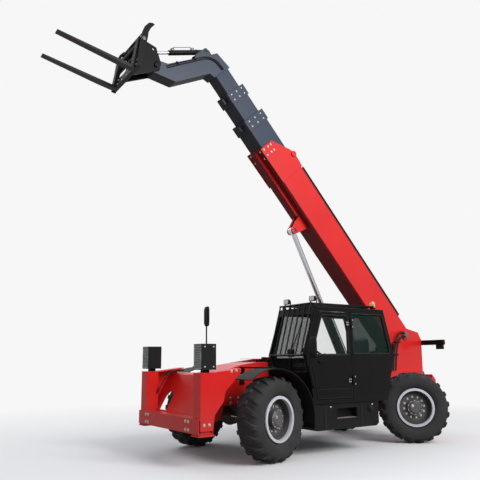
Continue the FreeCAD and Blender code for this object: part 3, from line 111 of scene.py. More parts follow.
class Tree:
    """A node tree that is filled from nothing."""

    def __init__(self, tree: bpy.types.NodeTree) -> None:
        """Empties the tree."""
        self.tree = tree
        tree.nodes.clear()

    def node(self, kind: str, settings: dict | None = None, inputs: dict | None = None) -> bpy.types.Node:
        """Adds a node.

        Args:
            kind: Type of the node.
            settings: Its settings.
            inputs: Values or links of its sockets, by name or number.

        Returns:
            The node.
        """
        made = self.tree.nodes.new(kind)
        for key, value in (settings or {}).items():
            setattr(made, key, value)
        for key, value in (inputs or {}).items():
            source = value.link if isinstance(value, Sock) else value
            if isinstance(source, bpy.types.NodeSocket):
                self.tree.links.new(source, made.inputs[key])
            else:
                made.inputs[key].default_value = source
        return made

    def value(self, kind: str, settings: dict | None = None, inputs: dict | None = None,
              output: int | str = 0) -> Sock:
        """Adds a node and gives one of its outputs."""
        return Sock(self, self.node(kind, settings, inputs).outputs[output])

    def seen(self) -> Sock:
        """1 for what the camera sees straight, in a reflection or through glass."""
        rays = self.node("ShaderNodeLightPath").outputs
        straight = Sock(self, rays["Is Camera Ray"])
        return (straight + rays["Is Glossy Ray"] + rays["Is Transmission Ray"]).held()


class Shader(Tree):
    """One material's node tree, with the few nodes that the finishes share."""

    def __init__(self, name: str) -> None:
        """Starts an empty material of that name."""
        self.material = bpy.data.materials.new(name)
        self.material.use_nodes = True
        super().__init__(self.material.node_tree)
        place = self.node("ShaderNodeTexCoord").outputs
        self.position = Sock(self, place["Object"])
        self.normal = Sock(self, place["Normal"])

    def noise(self, scale: float, detail: float = 3.0, stretch: Point = (1, 1, 1)) -> Sock:
        """Noise on Object coordinates, centred on one half.

        Args:
            scale: Cells per metre.
            detail: Octaves.
            stretch: Scale of each axis.

        Returns:
            The noise value.
        """
        place = self.position
        if stretch != (1, 1, 1):
            place = self.value("ShaderNodeMapping", None, {"Vector": place, "Scale": stretch})
        return self.value("ShaderNodeTexNoise", None, {"Vector": place, "Scale": scale, "Detail": detail})

    def wave(self, direction: str, **inputs: float) -> Sock:
        """Straight bands across one axis of the Object coordinates."""
        return self.value("ShaderNodeTexWave", {"bands_direction": direction},
                          {"Vector": self.position, **inputs}, "Fac")

    def axis(self, index: int) -> Sock:
        """One coordinate of the position."""
        return self.value("ShaderNodeSeparateXYZ", None, {0: self.position}, index)

    def facing(self, index: int) -> Sock:
        """One component of the piece's own normal."""
        return self.value("ShaderNodeSeparateXYZ", None, {0: self.normal}, index)

    def mix(self, factor: object, first: object, second: object) -> Sock:
        """Mixes two colours by a factor."""
        inputs = {0: factor, 6: self._rgba(first), 7: self._rgba(second)}
        return self.value("ShaderNodeMix", {"data_type": "RGBA"}, inputs, 2)

    @staticmethod
    def _rgba(colour: object) -> object:
        """A plain colour with its alpha, and a socket as it is."""
        return (*colour, 1.0) if isinstance(colour, tuple) else colour

    def rounded(self, radius: float) -> tuple[Sock, Sock]:
        """Softened edges.

        Args:
            radius: Radius of the softened edge in metres.

        Returns:
            The softened normal, and a mask that is 1 along the edges.
        """
        soft = self.value("ShaderNodeBevel", {"samples": 4}, {"Radius": radius})
        plain = self.node("ShaderNodeNewGeometry").outputs["Normal"]
        dot = self.value("ShaderNodeVectorMath", {"operation": "DOT_PRODUCT"}, {0: soft, 1: plain}, "Value")
        return soft, ((1.0 - dot) * 9.0).held()

    def bump(self, height: Sock, depth: float, normal: Sock | None = None) -> Sock:
        """A bump of that depth in metres over a normal."""
        inputs = {"Strength": 1.0, "Distance": depth, "Height": height}
        return self.value("ShaderNodeBump", None, inputs if normal is None else {**inputs, "Normal": normal})

    def surface(self, **inputs: object) -> bpy.types.Material:
        """Ends the material with a Principled shader.

        Args:
            inputs: Its sockets, with underscores for the spaces of their names.

        Returns:
            The material.
        """
        named = {key.replace("_", " "): self._rgba(value) for key, value in inputs.items()}
        shader = self.value("ShaderNodeBsdfPrincipled", None, named)
        self.node("ShaderNodeOutputMaterial", None, {0: shader})
        return self.material


DUST: Colour = (0.23, 0.19, 0.15)
CHIP: Colour = (0.10, 0.085, 0.08)
STEEL: Colour = (0.32, 0.31, 0.30)
RUST: Colour = (0.13, 0.055, 0.025)
TYRE_DUST: Colour = (0.15, 0.135, 0.12)


def toned(colour: Colour, share: float, lift: float = 0.0) -> Colour:
    """A colour times a share, plus a lift, at most white."""
    return tuple(min(1.0, share * c + lift) for c in colour)


@dataclass(frozen=True)
class Paint:
    """Sprayed paint with softened edges, chips, dust low down, painted shade on the underside and a fine
    orange peel.
    """

    name: str
    colour: Colour
    roughness: float = 0.30
    coat: float = 0.55
    wear: float = 0.5
    dust: float = 0.5
    dust_top: float = 1.1
    edge: float = 0.006
    specular: float = 0.5
    # Colour of painted shade on the faces that point down.
    under: Colour | None = None

    def make(self) -> bpy.types.Material:
        """Builds the material."""
        s = Shader(self.name)
        broad, fine, streak = s.noise(1.7, 4.0), s.noise(42.0, 6.0), s.noise(5.0, 4.0, (3.0, 3.0, 0.5))
        normal, edge = s.rounded(self.edge)
        low = ((self.dust_top - s.axis(2)) / max(self.dust_top, 0.1)).held()
        dirt = (low * (0.35 + broad) * (0.3 + streak) * 1.6 * self.dust).held()
        chips = (edge * (fine * 1.9 - 0.62)).held() * self.wear
        colour = s.mix((broad * 1.6 - 0.5).held() * 0.5, self.colour, toned(self.colour, 0.72))
        # Painted shade: faces that point down take the under colour, with less coat and more roughness.
        painted_shade_below = Sock(s, 0.0)
        if self.under:
            painted_shade_below = 1.0 - s.facing(2).over(-0.3)
            colour = s.mix(painted_shade_below, colour, self.under)
        colour = s.mix(edge * 0.22, colour, toned(self.colour, 1.25, 0.03))
        colour = s.mix(dirt, s.mix(chips, colour, CHIP), DUST)
        rough = self.roughness + dirt * 0.4 + chips * 0.3 + painted_shade_below * 0.3 + (fine - 0.5) * 0.12
        coat = (self.coat * (1.0 - dirt - painted_shade_below) - chips * 0.3).held()
        return s.surface(Base_Color=colour, Roughness=rough, Specular_IOR_Level=self.specular,
                         Coat_Weight=coat, Coat_Roughness=0.12,
                         Normal=s.bump(s.noise(420.0, 2.0), 0.00012, normal))


@dataclass(frozen=True)
class Rubber:
    """Tyre rubber, matt and slightly dusty, with a mould grain."""

    name: str
    colour: Colour = (0.021, 0.021, 0.023)
    dust: float = 0.30

    def make(self) -> bpy.types.Material:
        """Builds the material."""
        s = Shader(self.name)
        broad, fine = s.noise(4.0, 5.0), s.noise(70.0, 6.0)
        normal, edge = s.rounded(0.004)
        dirt = ((broad * 1.6 - 0.45) * (fine + 0.35)).held() * self.dust
        colour = s.mix((dirt + edge * 0.25).held(), self.colour, TYRE_DUST)
        return s.surface(Base_Color=colour, Roughness=0.78 + dirt * 0.2, Specular_IOR_Level=0.25,
                         Normal=s.bump(s.noise(240.0, 3.0), 0.0005, normal))


@dataclass(frozen=True)
class Plastic:
    """Moulded plastic with a leather-like grain and a little road dust low down."""

    name: str
    colour: Colour
    roughness: float = 0.55
    grain: float = 520.0
    dust: float = 0.35

    def make(self) -> bpy.types.Material:
        """Builds the material."""
        s = Shader(self.name)
        broad = s.noise(2.3, 4.0)
        normal, edge = s.rounded(0.005)
        low = ((1.2 - s.axis(2)) / 1.2).held()
        dirt = (low * (broad * 1.8 - 0.35)).held() * self.dust
        colour = s.mix((broad * 0.6).held(), self.colour, toned(self.colour, 1.35, 0.004))
        colour = s.mix((dirt + edge * 0.08).held(), colour, DUST)
        return s.surface(Base_Color=colour, Roughness=self.roughness + dirt * 0.3, Specular_IOR_Level=0.1,
                         Normal=s.bump(s.noise(self.grain, 2.0), 0.0004, normal))


@dataclass(frozen=True)
class Metal:
    """Bare metal, from bright chrome to dark rolled steel, with fine scratches."""

    name: str
    colour: Colour
    roughness: float = 0.2
    scratch: float = 0.12
    rust: float = 0.0

    def make(self) -> bpy.types.Material:
        """Builds the material."""
        s = Shader(self.name)
        scratches, broad = s.noise(60.0, 5.0, (1.0, 9.0, 1.0)), s.noise(6.0, 5.0)
        normal, edge = s.rounded(0.003)
        rust = (broad * 2.2 - 0.9).held() * self.rust
        colour = s.mix((scratches * 0.5).held(), self.colour, toned(self.colour, 0.7))
        colour = s.mix(rust, s.mix(edge * 0.3, colour, STEEL), RUST)
        return s.surface(Base_Color=colour, Metallic=(1.0 - rust * 0.9).held(),
                         Roughness=self.roughness + scratches * self.scratch + rust * 0.4,
                         Normal=s.bump(scratches, 0.0001, normal))


@dataclass(frozen=True)
class Glass:
    """Tinted pane that covers a share of what lies behind it; the extra cover where it faces X and on the
    left is painted shade.
    """

    name: str
    colour: Colour
    cover: float
    ends: float = 0.0
    left: float = 0.0

    def make(self) -> bpy.types.Material:
        """Builds the material."""
        s = Shader(self.name)
        film = s.noise(1.3, 2.0)
        # Painted shade: panes that face X and panes on the left get extra dark cover.
        ends = (s.facing(0) * s.facing(0)).over(0.25)
        left = s.axis(1).over(0.9) * (1.0 - ends)
        tint_and_painted_shade = self.cover + ends * self.ends + left * self.left
        return s.surface(Base_Color=s.mix(film * 0.2, self.colour, toned(self.colour, 1.3, 0.01)),
                         Roughness=0.02 + film * 0.03, Alpha=(tint_and_painted_shade + film * 0.04).held(),
                         Specular_IOR_Level=0.03)


@dataclass(frozen=True)
class Lens:
    """Clear or coloured lamp glass with vertical ribs over a bright reflector."""

    name: str
    colour: Colour
    ribs: float = 180.0

    def make(self) -> bpy.types.Material:
        """Builds the material."""
        s = Shader(self.name)
        ribs = s.wave("Y", Scale=self.ribs / 6.28)
        colour = s.mix((ribs * 0.35).held(), self.colour, toned(self.colour, 0.45))
        return s.surface(Base_Color=colour, Roughness=0.08 + ribs * 0.05, Specular_IOR_Level=0.8,
                         Coat_Weight=1.0, Coat_Roughness=0.03, Normal=s.bump(ribs, 0.0012))


@dataclass(frozen=True)
class Cloth:
    """Woven seat cloth: crossed thread waves with a soft sheen."""

    name: str
    colour: Colour
    thread: float = 0.0035

    def make(self) -> bpy.types.Material:
        """Builds the material."""
        s = Shader(self.name)
        scale = 1.0 / (6.28 * self.thread)
        level = [s.wave(direction, Scale=scale, Distortion=0.4) for direction in "XY"]
        weave = level[0] * 0.4 + level[1] * 0.35 + s.wave("Z", Scale=scale) * 0.25
        broad = s.noise(9.0, 4.0)
        colour = s.mix((weave * 0.7 + broad * 0.3).held(), toned(self.colour, 0.55), toned(self.colour, 1.5))
        return s.surface(Base_Color=colour, Roughness=0.86 + broad * 0.1, Sheen_Weight=0.35,
                         Normal=s.bump(weave, 0.0009))


# Painted shade for the undersides of the grey boom sections and the head.
UNDERSIDE_SHADE_GREY: Colour = (0.007, 0.008, 0.011)


class Finish(Enum):
    """The finishes of the machine."""

    # Each under colour is painted shade on the faces that point down.
    RED = Paint("red_paint", (0.74, 0.014, 0.013), 0.36, 0.20, 0.3, 0.30, 1.0, specular=0.25,
                under=(0.13, 0.005, 0.006))
    NOSE_RED = Paint("nose_red_paint", (0.72, 0.014, 0.013), 0.42, 0.08, 0.6, 0.28, 1.0, specular=0.12)
    BLACK = Paint("black_paint", (0.0055, 0.0055, 0.006), 0.42, 0.03, 0.22, 0.08, 1.0, specular=0.10)
    CAB_BLACK = Paint("cab_black_paint", (0.0038, 0.0038, 0.0046), 0.34, 0.03, 0.10, 0.05, 0.9, specular=0.08)
    BOOM_GREY = Paint("boom_grey_paint", (0.029, 0.043, 0.078), 0.36, 0.15, 0.35, 0.1, specular=0.25,
                      under=UNDERSIDE_SHADE_GREY)
    HEAD_GREY = Paint("head_grey_paint", (0.046, 0.060, 0.092), 0.34, 0.20, 0.4, 0.1, specular=0.25,
                      under=UNDERSIDE_SHADE_GREY)
    AXLE = Paint("axle_paint", (0.014, 0.014, 0.016), 0.60, 0.03, 0.5, 0.7, 1.4, 0.008, specular=0.2)
    RIM = Paint("rim_paint", (0.66, 0.67, 0.72), 0.32, 0.35, 0.4, 0.25, 1.2)
    DISC = Paint("disc_paint", (0.060, 0.064, 0.078), 0.42, 0.1, 0.6, 0.35, 1.2, specular=0.3)
    ENGINE = Paint("engine_paint", (0.17, 0.175, 0.18), 0.6, 0.0, 0.4, 0.8, 1.8)
    TYRE = Rubber("tyre_rubber")
    SEAL = Rubber("seal_rubber", (0.010, 0.010, 0.011), 0.1)
    HOSE = Rubber("hose_rubber", (0.013, 0.013, 0.014), 0.15)
    FENDER = Plastic("fender_plastic", (0.005, 0.005, 0.006), 0.60, 520.0, 0.08)
    TANK = Plastic("tank_plastic", (0.004, 0.004, 0.005), 0.50, 520.0, 0.05)
    TRIM = Plastic("trim_plastic", (0.010, 0.010, 0.011), 0.60, 700.0, 0.08)
    CHROME = Metal("chrome", (0.52, 0.52, 0.55), 0.16, 0.05)
    BOLT = Metal("zinc_bolt", (0.48, 0.46, 0.42), 0.34, 0.2, 0.25)
    PIN = Metal("pin_steel", (0.20, 0.195, 0.19), 0.42, 0.2, 0.4)
    GUARD = Metal("guard_wire", (0.40, 0.42, 0.42), 0.36, 0.2, 0.1)
    FORK = Metal("fork_steel", (0.030, 0.030, 0.034), 0.46, 0.2, 0.25)
    MIRROR = Metal("mirror_glass", (0.75, 0.78, 0.80), 0.02, 0.01)
    # The last two numbers are painted shade: extra dark cover on the panes that face X and on the left.
    GLASS = Glass("cab_pane", (0.012, 0.030, 0.024), 0.05, 0.48, 0.42)
    CLEAR = Glass("door_pane", (0.10, 0.14, 0.125), 0.05)
    DISPLAY = Glass("screen_face", (0.010, 0.012, 0.014), 0.90)
    LAMP = Lens("lamp_lens", (0.86, 0.87, 0.85))
    AMBER = Lens("amber_lens", (0.85, 0.26, 0.02), 260.0)
    TAIL = Lens("tail_lens", (0.55, 0.02, 0.015), 260.0)
    SEAT = Cloth("seat_cloth", (0.030, 0.031, 0.036))


@functools.cache
def material(finish: Finish) -> bpy.types.Material:
    """The material of a finish, made once."""
    return finish.value.make()


# Surfaces

@dataclass(frozen=True)
class Place:
    """A local frame: its origin and its turn about Z, then about -Y, in degrees."""

    origin: Point = (0.0, 0.0, 0.0)
    turn: float = 0.0
    lift: float = 0.0

    def world(self, points: Array) -> Array:
        """Local points in the row frame.

        Args:
            points: Points of the local frame.

        Returns:
            The points in the row frame.
        """
        t, b = math.radians(self.turn), math.radians(self.lift)
        about_z = np.array([[math.cos(t), -math.sin(t), 0], [math.sin(t), math.cos(t), 0], [0, 0, 1]])
        about_y = np.array([[math.cos(b), 0, -math.sin(b)], [0, 1, 0], [math.sin(b), 0, math.cos(b)]])
        return points @ (about_z @ about_y).T + np.array(self.origin)


@dataclass
class Patch:
    """Vertices with their faces, ready to be moved and joined."""

    points: Array
    faces: list[list[int]]

    def at(self, place: Place) -> Patch:
        """The patch in the row frame."""
        return Patch(place.world(self.points), self.faces)

    def copied(self, *offsets: Point) -> Patch:
        """The patch repeated at each offset."""
        points = (self.points[None] + np.array(offsets, float)[:, None]).reshape(-1, 3)
        starts = range(0, len(points), len(self.points))
        return Patch(points, [[i + start for i in face] for start in starts for face in self.faces])

    def flipped(self, axis: int) -> Patch:
        """Mirror image across one axis, its faces turned back outwards."""
        points = self.points.copy()
        points[:, axis] *= -1
        return Patch(points, [face[::-1] for face in self.faces])


def joined(*patches: Patch) -> Patch:
    """One patch of several."""
    faces: list[list[int]] = []
    count = 0
    for patch in patches:
        faces += [[i + count for i in face] for face in patch.faces]
        count += len(patch.points)
    return Patch(np.vstack([patch.points for patch in patches]), faces)


def unit(vectors: Array) -> Array:
    """Vectors of length one."""
    return vectors / np.linalg.norm(vectors, axis=-1, keepdims=True)


def grid(points: Array, closed_u: bool = False, closed_v: bool = False, cap_u: bool = False) -> Patch:
    """Quads over a grid of points; a capped end is a fan to the middle of its ring.

    Args:
        points: Array of rows, columns and three coordinates.
        closed_u: Whether the last row joins the first.
        closed_v: Whether the last column joins the first.
        cap_u: Whether the first and the last row are closed.

    Returns:
        The patch.
    """
    rows, columns = points.shape[:2]
    index = np.arange(rows * columns).reshape(rows, columns)
    start, stop = (index, np.roll(index, -1, 0)) if closed_u else (index[:-1], index[1:])
    if closed_v:
        quads = np.stack([start, np.roll(start, -1, 1), np.roll(stop, -1, 1), stop], -1)
    else:
        quads = np.stack([start[:, :-1], start[:, 1:], stop[:, 1:], stop[:, :-1]], -1)
    faces = quads.reshape(-1, 4).tolist()
    vertices = points.reshape(-1, 3)
    if cap_u:
        vertices = np.vstack([vertices, points[[0, -1]].mean(1)])
        for ends, middle in ((index[0][::-1], rows * columns), (index[-1], rows * columns + 1)):
            faces += np.stack([ends, np.roll(ends, -1), np.full(columns, middle)], -1).tolist()
    return Patch(vertices, faces)


def many(points: Array) -> Patch:
    """Several open grids of one size, as (copies, rows, columns, 3).

    Args:
        points: One grid of points for each copy.

    Returns:
        The patch.
    """
    number, rows, columns = points.shape[:3]
    offsets = (np.arange(number) * rows * columns)[:, None, None]
    faces = np.array(grid(points[0]).faces)[None] + offsets
    return Patch(points.reshape(-1, 3), faces.reshape(-1, 4).tolist())


def ring(count: int, phase: float = 0.0) -> Array:
    """Angles evenly spaced round a circle."""
    return np.arange(count) * 2 * math.pi / count + phase


def circle(centre: Point, radius: float, count: int, phase: float = 0.0) -> Array:
    """Points evenly spaced on a circle across Y, whose angles start at X."""
    angles = ring(count, phase)
    return np.array(centre) + radius * np.stack([np.cos(angles), np.zeros(count), np.sin(angles)], -1)


def turned(profile: Outline | Array, count: int = 48, axis: str = "y", closed: bool = False) -> Patch:
    """Surface of revolution: each (radius, height) pair of the profile becomes a circle about the axis.

    Args:
        profile: Radii and heights; the first and the last are closed by a fan.
        count: Points round each circle.
        axis: Axis of the turn.
        closed: Whether the profile is a loop, with no fans.

    Returns:
        The patch.
    """
    pairs = np.asarray(profile, float)
    angles = ring(count)
    one, two = pairs[:, :1] * np.cos(angles), pairs[:, :1] * np.sin(angles)
    along = np.broadcast_to(pairs[:, 1:], one.shape)
    order = {"y": (two, along, one), "x": (along, one, two), "z": (one, two, along)}[axis]
    return grid(np.stack(order, -1), closed_u=closed, closed_v=True, cap_u=not closed)


def block(low: Point, high: Point, radius: float = 0.004, steps: int = 2) -> Patch:
    """Rounded block: a sphere's grid of directions times the radius, each octant pushed to its inner corner.

    Args:
        low: One corner.
        high: The opposite corner.
        radius: Radius of the edges.
        steps: Points on each eighth of a turn.

    Returns:
        The patch.
    """
    low_a, high_a = np.minimum(low, high), np.maximum(low, high)
    half = (high_a - low_a) / 2
    radius = min(radius, float(half.min()) * 0.95)
    inner = half - radius
    quarter = np.linspace(0, math.pi / 2, steps + 1)
    around = np.concatenate([quarter + k * math.pi / 2 for k in range(4)])
    tilt = np.concatenate([-quarter[::-1], quarter])
    flat = radius * np.cos(tilt)[:, None]
    x = flat * np.cos(around) + np.repeat([1, -1, -1, 1], steps + 1) * inner[0]
    y = flat * np.sin(around) + np.repeat([1, 1, -1, -1], steps + 1) * inner[1]
    z = np.broadcast_to((radius * np.sin(tilt) + np.repeat([-1, 1], steps + 1) * inner[2])[:, None], x.shape)
    return grid(np.stack([x, y, z], -1) + (low_a + high_a) / 2, closed_v=True, cap_u=True)


def curve(points: list[Point] | Array, count: int) -> Array:
    """Catmull-Rom curve through points: cubic weights of the four neighbours of each span.

    Args:
        points: Points of any dimension.
        count: Samples along the whole curve.

    Returns:
        The samples.
    """
    p = np.asarray(points, float)
    last = len(p) - 1
    t = np.linspace(0, last, count)
    i = np.minimum(t.astype(int), last - 1)
    f = (t - i)[:, None]
    a, b, c, d = (p[np.clip(i + offset, 0, last)] for offset in (-1, 0, 1, 2))
    return b + 0.5 * f * (c - a + f * (2 * a - 5 * b + 4 * c - d + f * (3 * (b - c) + d - a)))


def rounded_path(corners: list[Point] | Array, radius: float, steps: int = 6, closed: bool = True) -> Array:
    """Path with rounded corners: each corner is a quadratic curve between its two tangent points.

    Args:
        corners: Corner points.
        radius: Distance from a corner to where its curve starts.
        steps: Points on each curve.
        closed: Whether the path is a loop.

    Returns:
        The points of the path.
    """
    p = np.asarray(corners, float)
    start, stop = (p + radius * unit(np.roll(p, shift, 0) - p) for shift in (1, -1))
    t = np.linspace(0, 1, steps)[None, :, None]
    arcs = (1 - t) ** 2 * start[:, None] + 2 * t * (1 - t) * p[:, None] + t ** 2 * stop[:, None]
    if closed:
        return arcs.reshape(-1, 3)
    return np.vstack([p[:1], arcs[1:-1].reshape(-1, 3), p[-1:]])


def headings(path: Array, closed: bool) -> Array:
    """Unit directions along a path."""
    return unit(np.roll(path, -1, 0) - np.roll(path, 1, 0) if closed else np.gradient(path, axis=0))


def pipe(path: Array, radius: float | Array, sides: int = 12, closed: bool = False) -> Patch:
    """Pipe: circles square to the path, their first direction square to the axis that the path spans least.

    Args:
        path: Centre points.
        radius: One radius, or one for each point.
        sides: Points round the pipe.
        closed: Whether the path is a loop.

    Returns:
        The patch.
    """
    ahead = headings(path, closed)
    helper = np.eye(3)[int(np.argmin(np.ptp(path, axis=0)))] + 0.01
    side = unit(np.cross(ahead, helper))
    up = np.cross(side, ahead)
    angles = ring(sides)[None, :, None]
    size = np.broadcast_to(np.asarray(radius, float), (len(path),))[:, None, None]
    circles = side[:, None] * np.cos(angles) + up[:, None] * np.sin(angles)
    return grid(path[:, None] + size * circles, closed_u=closed, closed_v=True, cap_u=not closed)


def strip(path: Array, across: Point, width: float, thick: float, closed: bool = False) -> Patch:
    """Flat bar along a path: a rectangle with cut corners, its width along one direction.

    Args:
        path: Centre points.
        across: Direction of the width.
        width: Width of the bar.
        thick: Its thickness.
        closed: Whether the path is a loop.

    Returns:
        The patch.
    """
    wide = unit(np.broadcast_to(np.array(across, float), path.shape))
    thin = unit(np.cross(headings(path, closed), wide))
    w, t, cut = width / 2, thick / 2, 0.25 * thick
    corners = np.array([(w, t - cut), (w - cut, t), (cut - w, t), (-w, t - cut)])
    corners = np.vstack([corners, -corners])[None]
    profile = wide[:, None] * corners[..., :1] + thin[:, None] * corners[..., 1:]
    return grid(path[:, None] + profile, closed_u=closed, closed_v=True, cap_u=not closed)


def hexagon_bolt(across_flats: float, height: float, axis: str, washer: float = 1.5) -> Patch:
    """Bolt head on a washer: a six-sided prism whose top edge is drawn in, over a round plate."""
    r = across_flats / math.sqrt(3)
    head = turned([(r, 0.0), (r, height * 0.85), (r * 0.88, height)], 6, axis)
    return joined(turned([(r * washer, 0.0), (r * washer, height * 0.18)], 14, axis), head)


def bolts(points: list[Point] | Array, axis: str, sign: int = 1, flats: float = 0.022,
          height: float = 0.011) -> Patch:
    """Bolt heads at points, standing out along an axis."""
    head = hexagon_bolt(flats, height, axis)
    return (head if sign > 0 else head.flipped("xyz".index(axis))).copied(*points)


def pod(centre: Point, half: Pair, depth: float, power: float = 5.0, count: int = 56) -> Patch:
    """Lamp or mirror case: a superellipse in Y and Z whose size follows a domed profile along X.

    Args:
        centre: Middle of its open face.
        half: Half its width and half its height.
        depth: How far it goes from its face along X.
        power: Squareness of the superellipse.
        count: Points round it.

    Returns:
        The patch.
    """
    scale, along = np.array([(0.955, 0.0), (0.985, 0.03), (1.0, 0.10), (1.0, 0.35), (0.97, 0.60),
                             (0.88, 0.82), (0.70, 0.95), (0.40, 1.0)]).T[..., None]
    angles = ring(count, math.pi / count)
    y, z = (np.sign(wave) * np.abs(wave) ** (2 / power) * size
            for wave, size in zip((np.cos(angles), np.sin(angles)), half))
    x = np.broadcast_to(along * depth, (len(along), count))
    return grid(np.stack([x, scale * y, scale * z], -1) + np.array(centre), closed_v=True, cap_u=True)


class Maker:
    """Turns patches into the scene's pieces."""

    def piece(self, name: str, patches: list[Patch], finish: Finish, body: str,
              slot: str | None = None, replaces: tuple[str, ...] = ()) -> bpy.types.Object:
        """Makes a piece, dresses it and sets it on its body.

        Args:
            name: Name of the piece.
            patches: Its surfaces in the row frame.
            finish: Its finish.
            body: The CAD body that carries it.
            slot: The record's material slot, where it isn't the finish's own; not used.
            replaces: CAD nodes that it stands for.

        Returns:
            The object.
        """
        mesh = self.mesh(name, joined(*patches))
        self._outwards(mesh)
        mesh.polygons.foreach_set("use_smooth", np.ones(len(mesh.polygons), bool))
        mesh.set_sharp_from_angle(angle=SMOOTH_ANGLE)
        mesh.materials.append(material(finish))
        obj = self.shown(name, mesh)
        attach(obj, body)
        if replaces:
            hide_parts(*replaces)
        LOG.info("%s: %d faces on %s", name, len(mesh.polygons), body)
        return obj

    def group(self, place: Place, body: str, *rows: tuple, replaces: tuple[str, ...] = ()) -> None:
        """Makes the pieces of one body.

        Args:
            place: The frame that their patches are given in.
            body: The CAD body that carries them.
            rows: A name, a finish and patches for each piece.
            replaces: CAD nodes that each of them stands for.
        """
        for name, finish, *patches in rows:
            self.piece(name, [patch.at(place) for patch in patches], finish, body, replaces=replaces)

    @staticmethod
    def mesh(name: str, patch: Patch) -> bpy.types.Mesh:
        """A mesh of a patch."""
        mesh = bpy.data.meshes.new(name)
        mesh.from_pydata(patch.points.tolist(), [], patch.faces)
        return mesh

    @staticmethod
    def shown(name: str, data: bpy.types.ID) -> bpy.types.Object:
        """An object of a mesh, lamp or camera, set in the scene."""
        obj = bpy.data.objects.new(name, data)
        bpy.context.scene.collection.objects.link(obj)
        return obj

    @staticmethod
    def _outwards(mesh: bpy.types.Mesh) -> None:
        """Points every face of the closed surfaces outwards."""
        shape = bmesh.new()
        shape.from_mesh(mesh)
        bmesh.ops.recalc_face_normals(shape, faces=shape.faces)
        shape.to_mesh(mesh)
        shape.free()


MAKE = Maker()


# Places of the machine

def machine(x: float, y: float, z: float) -> Point:
    """A point measured from midway between the axles, in the row frame."""
    return (x + SHIFT, y, z)


REACH = JOINTS["boom_extend"]["axis"]
FORK_TILT = 10.0
BOOM = Place(tuple(JOINTS["boom_lift"]["pos_m"]), 0.0, math.degrees(math.atan2(REACH[2], REACH[0])))
CARRIAGE = Place(tuple(JOINTS["carriage_tilt"]["pos_m"]), 0.0, FORK_TILT)
MACHINE = Place(machine(0.0, 0.0, 0.0))


# Wheels

